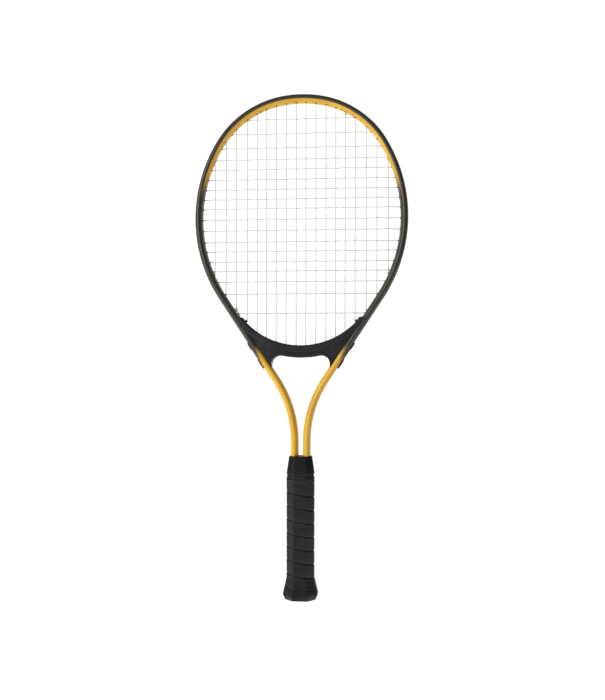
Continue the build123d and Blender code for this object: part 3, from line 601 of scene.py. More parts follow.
@dataclass
class TubeLine:
    """The centreline of the frame tube, in millimetres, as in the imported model."""

    length: float = 686.0
    width: float = 10.7
    depth: float = 20.0
    crown: tuple[float, float] = (156.5, 8.0)
    shoulder: tuple[float, float] = (126.0, 51.0)
    side_radius: float = 195.5
    lean: float = 33.3
    neck_radius: float = 153.0
    shaft_x: float = 8.25
    end_z: float = 24.0
    bends: list[Bend] = field(init=False)

    def __post_init__(self) -> None:
        """Lay out the right-hand half from the crown to the tube's lower end."""
        self.bends = []
        x, z, phi, start = 0.0, self.length - self.width / 2, 0.0, 0.0
        lean = math.radians(self.lean)
        head = [self.crown, self.shoulder,
                (self.side_radius, 90 + self.lean - self.crown[1] - self.shoulder[1])]
        for radius, turn in head:
            x, z, phi, start = self.add(x, z, phi, start, radius, radius * math.radians(turn))
        neck_shift = self.neck_radius * (1 - math.cos(lean))
        x, z, phi, start = self.add(x, z, phi, start, 0.0,
                                    (x - self.shaft_x - neck_shift) / math.sin(lean))
        x, z, phi, start = self.add(x, z, phi, start, -self.neck_radius, self.neck_radius * lean)
        self.add(x, z, phi, start, 0.0, z - self.end_z)

    def add(self, x: float, z: float, phi: float, start: float, radius: float,
            length: float) -> tuple[float, float, float, float]:
        """Add one bend.

        Args:
            x: Where the bend starts.
            z: Where the bend starts.
            phi: The heading there, in degrees.
            start: Length from the crown to there.
            radius: The bend's radius, or 0.
            length: The bend's length.

        Returns:
            Where it ends, the heading there and the length from the crown.
        """
        nx, nz = math.sin(math.radians(phi)), math.cos(math.radians(phi))
        bend = Bend(x - radius * nx, z - radius * nz, radius, phi, length, start)
        self.bends.append(bend)
        return (*bend.at(length, 0.0), start + length)

    @property
    def total(self) -> float:
        """Length from the crown to the tube's lower end."""
        return self.bends[-1].start + self.bends[-1].length

    @property
    def widest(self) -> float:
        """Length from the crown to the widest place of the head."""
        turned = 90 - self.crown[1] - self.shoulder[1]
        return self.bends[2].start + self.side_radius * math.radians(turned)

    @property
    def limb_end(self) -> float:
        """Length from the crown to the lower end of the straight limb."""
        return self.bends[4].start

    def at(self, s: float, offset: float = 0.0) -> tuple[float, float]:
        """Place at length s from the crown, negative on the left, offset outwards."""
        bend = next((b for b in self.bends if abs(s) <= b.start + b.length), self.bends[-1])
        x, z, _ = bend.at(abs(s) - bend.start, offset)
        return (math.copysign(x, s) if s else x), z

    def outward(self, s: float) -> tuple[float, float]:
        """Unit vector out of the head at length s."""
        inner, outer = self.at(s, -1.0), self.at(s, 0.0)
        return outer[0] - inner[0], outer[1] - inner[1]


def bisect(test: object, low: float, high: float) -> float:
    """Find where a function changes sign.

    Args:
        test: The function of one number.
        low: Where the search starts.
        high: Where it ends.

    Returns:
        The place of the change.
    """
    rising = test(low) > 0
    for _ in range(48):
        middle = (low + high) / 2
        if (test(middle) > 0) == rising:
            low = middle
        else:
            high = middle
    return (low + high) / 2


@dataclass(frozen=True)
class Hole:
    """One grommet hole: its mouth and its place in the channel, in the XZ plane."""

    mouth: tuple[float, float]
    out: tuple[float, float]
    s: float


@dataclass
class HoleLayout:
    """Where each string passes the frame and the bridge, in millimetres."""

    line: TubeLine
    offsets: tuple = (6.6, 20.3, 34.0, 47.2, 60.0, 73.6, 88.7, 103.0, 118.3)
    heights: tuple = (653.5, 633.7, 614.5, 598.8, 585.3, 571.5, 557.9, 544.6, 531.7,
                      516.8, 501.8, 486.1, 473.2, 459.0, 446.2, 431.6, 414.9, 388.3)
    string_level: float = 4.0
    mouth_level: float = -5.65
    peg_main: float = 73.6
    peg_tip: float = 2.7
    throat_half: float = 39.7
    bridge_radius: float = 104.0
    bridge_low: float = 344.3
    under_radius: float = 125.0
    under_low: float = 328.0
    corner_radius: float = 12.0
    under_depth: float = 1.35
    tie_step: float = 3.6
    search: float = 40.0
    mains: list[float] = field(init=False)
    main_holes: list[tuple] = field(init=False)
    cross_holes: list[list] = field(init=False)
    tie_top: Hole = field(init=False)
    tie_low: Hole = field(init=False)

    def __post_init__(self) -> None:
        """Work out every hole."""
        self.mains = [-m for m in reversed(self.offsets)] + list(self.offsets)
        self.main_holes = [self.main(m) for m in self.mains]
        self.cross_holes = [self.cross(z) for z in self.heights]
        self.tie_top = self.beside(self.main_holes[self.mains.index(60.0)][0], -self.tie_step)
        self.tie_low = self.beside(self.main_holes[self.mains.index(-88.7)][1], -self.tie_step)

    def bridge_top(self, x: float) -> float:
        """Height of the bridge's upper edge at x."""
        return self.bridge_low + self.bridge_radius - math.sqrt(self.bridge_radius ** 2 - x ** 2)

    def bridge_under(self, x: float) -> float:
        """Height of a string that lies in the groove of the bridge's underside.

        Args:
            x: Distance from the racket's axis.

        Returns:
            The height of the string's centre.
        """
        middle = self.under_low + self.under_radius
        corner_x = self.throat_half - self.corner_radius
        corner_z = middle - math.sqrt((self.under_radius + self.corner_radius) ** 2
                                      - corner_x ** 2)
        turn_x = corner_x * (self.under_radius - self.under_depth) / (
            self.under_radius + self.corner_radius)
        if abs(x) < turn_x:
            return middle - math.sqrt((self.under_radius - self.under_depth) ** 2 - x ** 2)
        reach = self.corner_radius + self.under_depth
        return corner_z + math.sqrt(reach ** 2 - (abs(x) - corner_x) ** 2)

    def drill(self, mouth: tuple, pull: tuple, low: float, high: float,
              squareness: float = 0.5) -> Hole:
        """A hole from its mouth to the channel.

        Args:
            mouth: Where it opens inside the head.
            pull: Direction of the string's pull.
            low: Where the search along the tube starts.
            high: Where it ends.
            squareness: 1 for a hole square to the tube, 0 for one along the pull.

        Returns:
            The hole.
        """
        at = self.line.at
        near = bisect(lambda s: math.dist(mouth, at(s + 0.01)) - math.dist(mouth, at(s - 0.01)),
                      low, high)
        nx, nz = self.line.outward(near)
        ux, uz = (nx * squareness + pull[0] * (1 - squareness),
                  nz * squareness + pull[1] * (1 - squareness))

        def aside(s: float) -> float:
            """How far the channel's place at s lies from the hole's line."""
            x, z = at(s, self.string_level)
            return (x - mouth[0]) * uz - (z - mouth[1]) * ux

        s = bisect(aside, near - self.search, near + self.search)
        return Hole(mouth, at(s, self.string_level), s)

    def main(self, m: float) -> tuple:
        """Drill both ends of a main.

        Args:
            m: The main's distance from the racket's axis, negative on the left.

        Returns:
            Its top hole and its bottom hole, or None where it passes through the bridge.
        """
        line, side = self.line, math.copysign(1, m)
        s = bisect(lambda s: line.at(s, self.mouth_level)[0] - abs(m), 0.0, line.widest)
        top = self.drill((m, line.at(s, self.mouth_level)[1]), (0, 1), side * s - self.search,
                         side * s + self.search)
        if abs(m) < self.throat_half:
            return top, None
        reach = sorted((side * line.widest, side * line.limb_end))
        if abs(m) > self.peg_main:
            s = bisect(lambda s: line.at(s, self.mouth_level)[0] - abs(m), line.widest,
                       line.limb_end)
            return top, self.drill((m, line.at(s, self.mouth_level)[1]), (0, -1), *reach)
        if abs(m) < self.peg_main:
            return top, self.drill((m, self.bridge_top(m)), (0, -1), *reach)
        nx = math.sin(math.radians(90 + line.lean))
        nz = math.cos(math.radians(90 + line.lean))
        mouth = (m, self.bridge_top(abs(m) + self.peg_tip * nx) - self.peg_tip * nz)
        return top, self.drill(mouth, (0, -1), *reach, squareness=1.0)

    def cross(self, z: float) -> list[Hole]:
        """Drill both ends of a cross.

        Args:
            z: The cross's height.

        Returns:
            Its left and right hole.
        """
        at = self.line.at
        s = bisect(lambda s: at(s, self.mouth_level)[1] - z, 1.0, self.line.limb_end)
        return [self.drill((side.value * at(s, self.mouth_level)[0], z), (side.value, 0),
                           side.value * s - self.search, side.value * s + self.search)
                for side in Side]

    def beside(self, hole: Hole, step: float) -> Hole:
        """A spare hole square to the tube, a step along it from another hole."""
        s = hole.s + step
        return Hole(self.line.at(s, self.mouth_level), self.line.at(s, self.string_level), s)


# ---------------------------------------------------------------- frame tube
@dataclass
class FrameTube:
    """The bent oval tube with its string channel, swept whole along its centreline."""

    line: TubeLine
    sweeps: SweepTree
    channel_width: float = 5.8
    channel_depth: float = 2.6
    lip: float = 0.45
    step: float = 2.0
    fade_top: tuple[float, float] = (594.0, 542.0)
    fade_low: tuple[float, float] = (349.0, 322.0)
    crest_lag: float = 26.0
    side_lag: float = 10.0
    paint_edge: tuple[float, float] = (-0.62, -0.3)

    def outline(self) -> bpy.types.Object:
        """The section of unit size: X along the strings' axis, Y to the outside of the head."""
        half_x, half_y = self.line.width / 2, self.line.depth / 2
        gap = self.channel_width / 2
        points = []
        start = math.asin((gap + self.lip) / half_y)
        for angle in np.linspace(start, 2 * math.pi - start, 61):
            points.append((half_x * math.cos(angle), half_y * math.sin(angle)))
        rim = half_x * math.cos(start)
        floor = half_x - self.channel_depth
        groove = [(rim - 0.02, -gap - 0.12), (rim - 0.35, -gap), (floor, -gap), (floor, gap),
                  (rim - 0.35, gap), (rim - 0.02, gap + 0.12)]
        points = np.array(points + groove)
        flat = np.column_stack([points[:, 1] / self.line.depth, points[:, 0] / self.line.width,
                                np.zeros(len(points))]) / MM
        return make_line("tube_section", flat, True, {"across": points[:, 0] / half_x})

    def build(self) -> bpy.types.Object:
        """Sweep the tube and mark where the gunmetal covers the yellow.

        Returns:
            The tube's mesh.
        """
        places = np.linspace(-self.line.total, self.line.total,
                             int(2 * self.line.total / self.step))
        path = make_line("tube_path", np.array([(x, 0.0, z) for x, z in (
            self.line.at(s) for s in places)]), False, {"along": places})
        piece = self.sweeps.sweep("frame_tube_painted", path, self.outline(), self.line.width,
                                  self.line.depth, SprayedEnamel().material(), 35.0)
        count = len(piece.data.vertices)
        along, across = np.zeros(count, np.float32), np.zeros(count, np.float32)
        piece.data.attributes["along"].data.foreach_get("value", along)
        piece.data.attributes["across"].data.foreach_get("value", across)
        set_values(piece.data, {"gunmetal": self.cover(along, across)})
        return piece

    def cover(self, along: np.ndarray, across: np.ndarray) -> np.ndarray:
        """How much gunmetal covers the yellow.

        Args:
            along: Length from the crown, negative on the left.
            across: -1 inside the head, 0 on the front and back crests, 1 outside.

        Returns:
            0 where the yellow is bare to 1 where it is covered.
        """
        height = np.array([self.line.at(float(s))[1] for s in along])
        outer = smoothstep(across, *self.paint_edge)
        crest = 1 - smoothstep(np.abs(across + 0.1), 0.0, 0.8)
        high = self.fade_top[0] - self.crest_lag * crest
        low = self.fade_top[1] - 0.6 * self.crest_lag * crest
        share = np.clip((high - height) / (high - low), 0, 1)
        head = np.maximum(outer, share * share * (3 - 2 * share))
        lag = self.side_lag * smoothstep(across, 0.0, 0.5)
        share = np.clip((self.fade_low[0] - lag - height)
                        / (self.fade_low[0] - self.fade_low[1]), 0, 1)
        return np.minimum(head, 1 - share * share * (3 - 2 * share))

    def dress(self) -> None:
        """Build the tube, paint it and let it stand for the CAD tube."""
        piece = self.build()
        dress(piece, piece.data.materials[0], "frame_paint", "frame_tube")


# ---------------------------------------------------------------- strings
@dataclass
class StringBed:
    """One nylon string, woven: the mains and then the crosses."""

    holes: HoleLayout
    sweeps: SweepTree
    diameter: float = 1.3
    plane: float = 1.1
    weave: float = 0.66
    sides: int = 8
    channel_lead: float = 6.0
    knot_reach: float = 1.4
    knot_turns: float = 2.25
    knot_ease: float = 1.04
    corner: float = 1.3

    def outline(self) -> bpy.types.Object:
        """A round section of unit diameter."""
        turns = np.linspace(0, 2 * math.pi, self.sides, endpoint=False)
        ring = np.column_stack([np.cos(turns) / 2, np.sin(turns) / 2, 0 * turns]) / MM
        return make_line("string_section", ring, True, {})

    def channel(self, s: float, y: float, lift: float = 0.0) -> tuple:
        """Place of a string in the tube's channel.

        Args:
            s: Length from the crown.
            y: The string's place across the channel.
            lift: How far it lies above the strings beneath it.

        Returns:
            The place.
        """
        x, z = self.holes.line.at(s, self.holes.string_level + lift)
        return x, y, z

    def channel_run(self, s_from: float, s_to: float, y: float, lift: float = 0.0) -> list[tuple]:
        """Points along the channel, some 3 mm apart.

        Args:
            s_from: Where the run starts.
            s_to: Where it ends.
            y: The string's place across the channel.
            lift: How far the middle of the run lies above the strings beneath it.

        Returns:
            The points between the two ends.
        """
        count = max(2, int(abs(s_to - s_from) / 3))
        places = np.linspace(s_from, s_to, count + 2)[1:-1]
        return [self.channel(float(s), y, lift * min(1.0, 3 * min(i + 1, count - i) / count))
                for i, s in enumerate(places)]

    def woven(self, start: tuple, end: tuple, crossings: list[float], axis: int,
              first_front: bool) -> list[tuple]:
        """Points of one string across the bed, over and under the strings that it meets.

        Args:
            start: Where it leaves the frame.
            end: Where it enters the frame.
            crossings: The coordinate of each string that it meets, in order.
            axis: 0 for a cross, which runs along X, or 2 for a main.
            first_front: Whether it passes in front of the first string that it meets.

        Returns:
            The points.
        """
        start, end = np.array(start, float), np.array(end, float)
        knots = [(0.0, start[1])]
        for index, place in enumerate(crossings):
            share = (place - start[axis]) / (end[axis] - start[axis])
            front = first_front == (index % 2 == 0)
            knots.append((share, -self.weave if front else self.weave))
        knots.append((1.0, end[1]))
        points = []
        for (a, ya), (b, yb) in zip(knots, knots[1:]):
            for share in np.linspace(0, 1, 7)[:-1]:
                here = start + (end - start) * (a + (b - a) * share)
                here[1] = ya + (yb - ya) * (1 - math.cos(math.pi * share)) / 2
                points.append(tuple(here))
        return points + [tuple(end)]

    def turned(self, points: list[tuple]) -> np.ndarray:
        """Round the sharp corners of a route.

        Args:
            points: The route.

        Returns:
            The route with each sharp corner drawn as an arc of four steps.
        """
        route = [np.array(points[0], float)]
        for before, here, after in zip(points, points[1:], points[2:]):
            here = np.array(here, float)
            way_in, way_out = here - np.array(before), np.array(after) - here
            long_in, long_out = np.linalg.norm(way_in), np.linalg.norm(way_out)
            if min(long_in, long_out) < 1e-6:
                continue
            cosine = float(way_in @ way_out) / (long_in * long_out)
            if cosine > math.cos(math.radians(30)):
                route.append(here)
                continue
            reach = min(self.corner, 0.45 * long_in, 0.45 * long_out)
            first, last = here - way_in / long_in * reach, here + way_out / long_out * reach
            for share in np.linspace(0, 1, 5):
                route.append((1 - share) ** 2 * first + 2 * share * (1 - share) * here
                             + share ** 2 * last)
        return np.array(route + [np.array(points[-1], float)])

    def through(self, hole: Hole, y: float, outwards: bool) -> list[tuple]:
        """The two points of a string in a hole.

        Args:
            hole: The hole.
            y: The string's place across it.
            outwards: Whether the string leaves the head.

        Returns:
            The points, in the order that the string takes them.
        """
        points = [(hole.mouth[0], y, hole.mouth[1]), (hole.out[0], y, hole.out[1])]
        return points if outwards else points[::-1]

    def bridge_ends(self, m: float, outwards: bool) -> list[tuple]:
        """The two points of a main that passes straight through the bridge.

        Args:
            m: The main's distance from the racket's axis.
            outwards: Whether the string leaves the head.

        Returns:
            The points, in the order that the string takes them.
        """
        points = [(m, -self.plane, self.holes.bridge_top(m)),
                  (m, -self.plane, self.holes.bridge_under(m))]
        return points if outwards else points[::-1]

    def mains(self) -> np.ndarray:
        """The route of the mains, from the upper left to the knot at the upper right."""
        holes, y = self.holes, -self.plane
        points = [self.channel(holes.main_holes[0][0].s + self.channel_lead, y)]
        for index, (m, (top, low)) in enumerate(zip(holes.mains, holes.main_holes)):
            down = index % 2 == 0
            lower = self.through(low, y, True) if low else self.bridge_ends(m, True)
            upper = self.through(top, y, True)
            met = [z for z in holes.heights if upper[0][2] > z > lower[0][2]]
            front = (index + holes.heights.index(met[0])) % 2 == 0
            if down:
                bed = self.woven(upper[0], lower[0], met, 2, front)
                points += [upper[1]] + bed + [lower[1]]
            else:
                last = (index + holes.heights.index(met[-1])) % 2 == 0
                bed = self.woven(lower[0], upper[0], met[::-1], 2, last)
                points += [lower[1]] + bed + [upper[1]]
            if index == len(holes.mains) - 1:
                continue
            top_next, low_next = holes.main_holes[index + 1]
            if not down:
                points += self.channel_run(top.s, top_next.s, y)
            elif low and low_next:
                points += self.channel_run(low.s, low_next.s, y)
            elif not low:
                m_next = holes.mains[index + 1]
                points += [(x, y, holes.bridge_under(x)) for x in np.linspace(m, m_next, 6)[1:-1]]
        tie = holes.tie_top
        points += self.channel_run(holes.main_holes[-1][0].s, tie.s, y, self.diameter)
        return self.turned(points + self.through(tie, y, False))

    def crosses(self) -> np.ndarray:
        """The route of the crosses, from the end of the mains' lead to the lower left knot."""
        holes, y = self.holes, self.plane
        lead = holes.main_holes[0][0].s + self.channel_lead
        points = [self.channel(lead, -y), self.channel(lead + self.channel_lead, -y)]
        points += self.channel_run(lead + 2 * self.channel_lead, holes.cross_holes[0][0].s, y,
                                   self.diameter)
        for index, (left, right) in enumerate(holes.cross_holes):
            rightwards = index % 2 == 0
            entry, leave = (left, right) if rightwards else (right, left)
            inner, outer = self.through(entry, y, True), self.through(leave, y, True)
            low, high = sorted((inner[0][0], outer[0][0]))
            met = [m for m in holes.mains if low < m < high]
            met = met if rightwards else met[::-1]
            front = (index + holes.mains.index(met[0])) % 2 == 1
            points += [inner[1]] + self.woven(inner[0], outer[0], met, 0, front) + [outer[1]]
            if index < len(holes.cross_holes) - 1:
                following = holes.cross_holes[index + 1][1 if rightwards else 0]
                points += self.channel_run(leave.s, following.s, y)
        points += self.channel_run(holes.cross_holes[-1][0].s, holes.tie_low.s, y)
        return self.turned(points + self.through(holes.tie_low, y, False))

    def knot(self, m: float, hole: Hole, tie: Hole, y: float) -> np.ndarray:
        """The route of a half hitch round a main, from the tie-off hole's mouth.

        Args:
            m: The main's distance from the axis.
            hole: The main's own hole.
            tie: The tie-off hole that the tail comes out of.
            y: The tail's place in the tie-off hole.

        Returns:
            The route.
        """
        down = math.copysign(1, self.holes.line.at(0.0)[1] / 1.5 - hole.mouth[1])
        turns = np.linspace(0, self.knot_turns * 2 * math.pi, 40)
        radius = self.diameter * self.knot_ease
        rise = hole.mouth[1] + down * (self.knot_reach + turns / (2 * math.pi) * self.diameter)
        coil = np.column_stack([m + radius * np.cos(turns), -self.plane + radius * np.sin(turns),
                                rise])
        tail = coil[-1] + np.array([0.4, -0.6, 1.6 * down])
        return np.vstack([[tie.mouth[0], y, tie.mouth[1]], coil, tail])

    def dress(self) -> None:
        """Sweep both stretches of string and the knots."""
        nylon = Monofilament().material()
        for name, route, node in (("main_string_woven", self.mains(), "main_string"),
                                  ("cross_string_woven", self.crosses(), "cross_string")):
            path = make_line("string_path", route, False, {})
            piece = self.sweeps.sweep(name, path, self.outline(), self.diameter, self.diameter,
                                      nylon, 60.0)
            dress(piece, nylon, "string_nylon", node)
        holes = self.holes
        ties = [("knot_top", 60.0, 0, holes.tie_top, -self.plane),
                ("knot_low", -88.7, 1, holes.tie_low, self.plane)]
        for name, m, end, tie, y in ties:
            hole = holes.main_holes[holes.mains.index(m)][end]
            path = make_line("knot_path", self.knot(m, hole, tie, y), False, {})
            piece = self.sweeps.sweep(name, path, self.outline(), self.diameter, self.diameter,
                                      nylon, 60.0)
            dress(piece, nylon, "string_nylon", "tie_off_knots")


@dataclass
class Grommets:
    """The flared tip of each grommet barrel round its string."""

    holes: HoleLayout
    scatter: ScatterTree
    plane: float = 1.1
    bore: float = 1.0
    flare: float = 1.2
    height: float = 0.12
    sides: int = 16

    def part(self) -> bpy.types.Object:
        """A small ring of unit millimetres with a rounded brim."""
        profile = [(self.bore, -0.4), (self.flare, -0.4), (self.flare, 0.05),
                   (0.8 * self.flare + 0.2 * self.bore, self.height), (self.bore, self.height)]
        turns = np.linspace(0, 2 * math.pi, self.sides, endpoint=False)
        points = [(r * math.cos(t), r * math.sin(t), z) for r, z in profile for t in turns]
        rows, count = len(profile), self.sides
        faces = [(i * count + j, i * count + (j + 1) % count,
                  (i + 1) % rows * count + (j + 1) % count, (i + 1) % rows * count + j)
                 for i in range(rows) for j in range(count)]
        return make_object("grommet_tip", np.array(points), [], faces, {})

    def dress(self) -> None:
        """Set a tip on each hole's mouth, in two pieces, one for the mains and one for the crosses,
        and finish the strips.
        """
        nylon = MouldedPlastic("nylon_grommet_black", "141414", "232322", 0.42, 0.5, 0.3)
        spots = {"mains": [(h, -self.plane) for pair in self.holes.main_holes for h in pair if h],
                 "crosses": [(h, self.plane) for pair in self.holes.cross_holes for h in pair]}
        material = nylon.material()
        for name, found in spots.items():
            places = np.array([(h.mouth[0], y, h.mouth[1]) for h, y in found])
            aims = np.array([(h.mouth[0] - h.out[0], h.mouth[1] - h.out[1]) for h, _ in found])
            points = make_object("tips", places, [], [], {"aim_x": aims[:, 0],
                                                          "aim_z": aims[:, 1]})
            part = self.part()
            piece = run_tree(self.scatter.tree, f"grommet_tips_{name}", points, {
                "Part": part, "Size": 1.0, "Finish": material}, 50.0)
            bpy.data.objects.remove(part)
            dress(piece, material, "grommet_nylon")
        dress_cad(material, "grommet_strip_top", "grommet_strip_left", "grommet_strip_right",
                  "throat_strip_left", "throat_strip_right", "bridge_strip")


# ---------------------------------------------------------------- throat
@dataclass
class Throat:
    """The moulded bridge between the limbs, with the saddles and screws that clamp it."""

    bridge: MouldedPlastic = MouldedPlastic("abs_bridge_satin_black", "1B1C1E", "27282B", 0.4,
                                            0.9, 0.35)
    saddle: MouldedPlastic = MouldedPlastic("nylon_saddle_dark_grey", "2E2B28", "3D3935", 0.45,
                                            0.7, 0.3)

    def dress(self) -> None:
        """Finish the CAD shapes."""
        dress_cad(self.bridge.material(), "throat_bridge")
        dress_cad(self.saddle.material(), "throat_saddle_left", "throat_saddle_right")
        dress_cad(PlatedSteel().material(), "throat_screw_left", "throat_screw_right",
                  "handle_screws", "butt_staples")


# ---------------------------------------------------------------- handle
@dataclass(frozen=True)
class Octagon:
    """A section of the handle: its width in X, depth in Y and corner facet, in millimetres."""

    width: float
    depth: float
    facet: float

    def blend(self, other: "Octagon", share: float) -> "Octagon":
        """The section part of the way to another.

        Args:
            other: The section at the far end.
            share: How far along, from 0 to 1.

        Returns:
            The section there.
        """
        return Octagon(*[a + (b - a) * share for a, b in zip(
            (self.width, self.depth, self.facet), (other.width, other.depth, other.facet))])

    def ring(self, rounding: float, per_flat: int, per_corner: int) -> tuple:
        """Points round the section, anticlockwise from above, starting at the right.

        Args:
            rounding: Radius of each corner.
            per_flat: Steps along each flat.
            per_corner: Steps round each corner.

        Returns:
            The points, their outward directions, and each one's share of the perimeter.
        """
        w, d, c = self.width / 2, self.depth / 2, self.facet
        corners = np.array([(w, d - c), (w - c, d), (c - w, d), (-w, d - c), (-w, c - d),
                            (c - w, -d), (w - c, -d), (w, c - d)])
        points, aims = [], []
        reach = rounding * math.tan(math.pi / 8)
        normals = [(corners[i] - corners[i - 1]) for i in range(8)]
        normals = [np.array([v[1], -v[0]]) / np.linalg.norm(v) for v in normals]
        for i, corner in enumerate(corners):
            before, after = corners[i - 1] - corner, corners[(i + 1) % 8] - corner
            first = corner + before / np.linalg.norm(before) * reach
            last = corner + after / np.linalg.norm(after) * reach
            n_in, n_out = normals[i], normals[(i + 1) % 8]
            for share in np.linspace(0, 1, per_corner + 1):
                points.append((1 - share) ** 2 * first + 2 * share * (1 - share) * corner
                              + share ** 2 * last)
                aim = n_in * (1 - share) + n_out * share
                aims.append(aim / np.linalg.norm(aim))
            far = corners[(i + 1) % 8] - after / np.linalg.norm(after) * reach
            for share in np.linspace(0, 1, per_flat + 1)[1:-1]:
                points.append(last + (far - last) * share)
                aims.append(n_out)
        points, aims = np.array(points), np.array(aims)
        steps = np.linalg.norm(np.roll(points, -1, 0) - points, axis=1)
        return points, aims, np.concatenate([[0], np.cumsum(steps)[:-1]]) / steps.sum()


@dataclass
class Loft:
    """A closed skin through octagons at rising heights, pushed in or out by a relief."""

    stations: list[tuple[float, Octagon]]
    rounding: float = 1.2
    per_flat: int = 6
    per_corner: int = 4
    step: float = 0.0

    def section(self, z: float) -> Octagon:
        """The section at a height."""
        for (z0, low), (z1, high) in zip(self.stations, self.stations[1:]):
            if z <= z1:
                return low.blend(high, (z - z0) / (z1 - z0))
        return self.stations[-1][1]

    def build(self, name: str, relief: object = None) -> bpy.types.Object:
        """Build the skin.

        Args:
            name: The piece's name.
            relief: Function of height and perimeter share, which gives how far each point
                stands out, in millimetres.

        Returns:
            The piece.
        """
        heights = [z for z, _ in self.stations]
        if self.step:
            count = int((heights[-1] - heights[0]) / self.step)
            heights = sorted(set(heights) | set(np.linspace(heights[0], heights[-1], count)))
        rows = []
        for z in heights:
            points, aims, turn = self.section(z).ring(self.rounding, self.per_flat,
                                                      self.per_corner)
            if relief:
                points = points + aims * np.asarray(relief(z, turn))[:, None]
            rows.append(np.column_stack([points, np.full(len(points), z)]))
        count = len(rows[0])
        faces = [(i * count + j, i * count + (j + 1) % count, (i + 1) * count + (j + 1) % count,
                  (i + 1) * count + j) for i in range(len(rows) - 1) for j in range(count)]
        faces.append(tuple(range(count))[::-1])
        faces.append(tuple((len(rows) - 1) * count + j for j in range(count)))
        piece = make_object(name, np.vstack(rows), [], faces, {})
        finish_mesh(piece.data, 38.0)
        return piece


@dataclass
class Handle:
    """Butt cap, wound grip, finishing tape and rubber collar."""

    grip: Octagon = Octagon(37.3, 31.8, 9.4)
    waist: Octagon = Octagon(40.0, 34.5, 10.3)
    foot: Octagon = Octagon(44.0, 38.5, 11.7)
    tape: Octagon = Octagon(38.4, 32.9, 9.7)
    pitch: float = 18.3
    seam_z: float = 32.0
    seam_depth: float = 0.55
    seam_width: float = 0.9
    sink: float = 0.1
    crown_rise: float = 0.22
    ridge_rise: float = 0.3
    ridge_width: float = 1.2
    ridge_below: float = 2.4
    front_share: float = 0.75

    def seams(self, z: float, turn: np.ndarray) -> np.ndarray:
        """How far the grip's skin stands out: a groove where each turn of the band meets the next.

        Args:
            z: The height.
            turn: Each point's share of the perimeter.

        Returns:
            The relief, in millimetres.
        """
        phase = (z - self.seam_z) / self.pitch + (turn - self.front_share)
        past = (phase - np.floor(phase)) * self.pitch
        above = np.exp(-(past / self.seam_width) ** 2)
        below = np.exp(-((self.pitch - past) / self.seam_width) ** 2)
        crown = self.crown_rise * np.sin(math.pi * np.clip(past / self.pitch, 0, 1))
        ridge = self.ridge_rise * np.exp(
            -((past - self.pitch + self.ridge_below) / self.ridge_width) ** 2)
        return crown + ridge - self.seam_depth * np.maximum(above, below) - self.sink

    def folds(self, z: float, turn: np.ndarray) -> np.ndarray:
        """How far the finishing tape stands out: soft folds round the handle where it is pulled.

        Args:
            z: The height.
            turn: Each point's share of the perimeter.

        Returns:
            The relief, in millimetres.
        """
        around = 2 * math.pi * turn
        first = np.exp(-((z - 163.2 - 1.1 * np.sin(around + 0.6)) / 0.8) ** 2)
        second = np.exp(-((z - 159.4 + 0.9 * np.sin(2 * around + 1.0)) / 0.7) ** 2)
        ripple = 0.12 * np.sin(3 * around + 1.9 * z) + 0.08 * np.sin(5 * around - 2.7 * z)
        return 0.6 * first + 0.4 * second + ripple - 0.5

    def dress(self) -> None:
        """Build, finish and place the four outer pieces, and finish the shells inside."""
        butt = MouldedPlastic("abs_butt_cap_black", "0C0C0E", "151517", 0.46, 0.8, 0.4)
        rubber = MouldedPlastic("rubber_collar_black", "0A0B0D", "131416", 0.52, 0.9, 0.35)
        shell = MouldedPlastic("polyurethane_foam_shell", "2A2A2A", "353535", 0.7, 1.2, 0.5)
        cap = Loft([(0.0, Octagon(39.6, 34.1, 9.7)), (0.6, Octagon(41.2, 35.7, 10.2)),
                    (6.2, Octagon(46.8, 41.3, 12.7)), (7.0, Octagon(47.3, 41.8, 13.0)),
                    (8.4, Octagon(47.0, 41.5, 12.9)), (14.2, Octagon(44.5, 39.0, 11.8)),
                    (14.9, Octagon(43.7, 38.2, 11.5))], rounding=1.6)
        dress(cap.build("butt_cap_faceted"), butt.material(), "butt_plastic", "butt_cap")
        wrap = Loft([(14.9, self.foot.blend(self.waist, 0.03)), (15.6, self.foot),
                     (19.5, self.foot.blend(self.waist, 0.6)), (24.0, self.waist),
                     (27.5, self.waist.blend(self.grip, 0.6)), (31.0, self.grip),
                     (157.0, self.grip)], rounding=2.0, step=0.5)
        dress(wrap.build("grip_band_wound", self.seams), SyntheticLeather().material(),
              "grip_polyurethane", "grip_wrap")
        tape = Loft([(155.8, self.grip.blend(self.tape, 0.3)), (156.6, self.tape),
                     (165.0, self.tape.blend(self.grip, 0.2)), (168.4, self.grip.blend(
                         self.tape, -0.6)), (168.9, self.grip.blend(self.tape, -1.4))],
                    rounding=2.2, step=0.4)
        dress(tape.build("finishing_tape_folded", self.folds), VinylTape().material(),
              "tape_vinyl", "finishing_tape")
        collar = Loft([(167.5, Octagon(35.4, 29.9, 8.9)), (169.6, Octagon(36.4, 30.9, 9.1)),
                       (170.5, Octagon(37.5, 32.0, 9.4)), (171.2, Octagon(37.4, 31.9, 9.4)),
                       (193.3, Octagon(31.0, 26.5, 7.7)), (194.0, Octagon(29.8, 25.4, 7.3))],
                      rounding=1.0)
        dress(collar.build("rubber_collar_tapered"), rubber.material(), "collar_rubber",
              "handle_collar")
        dress_cad(shell.material(), "handle_shell_front", "handle_shell_back")


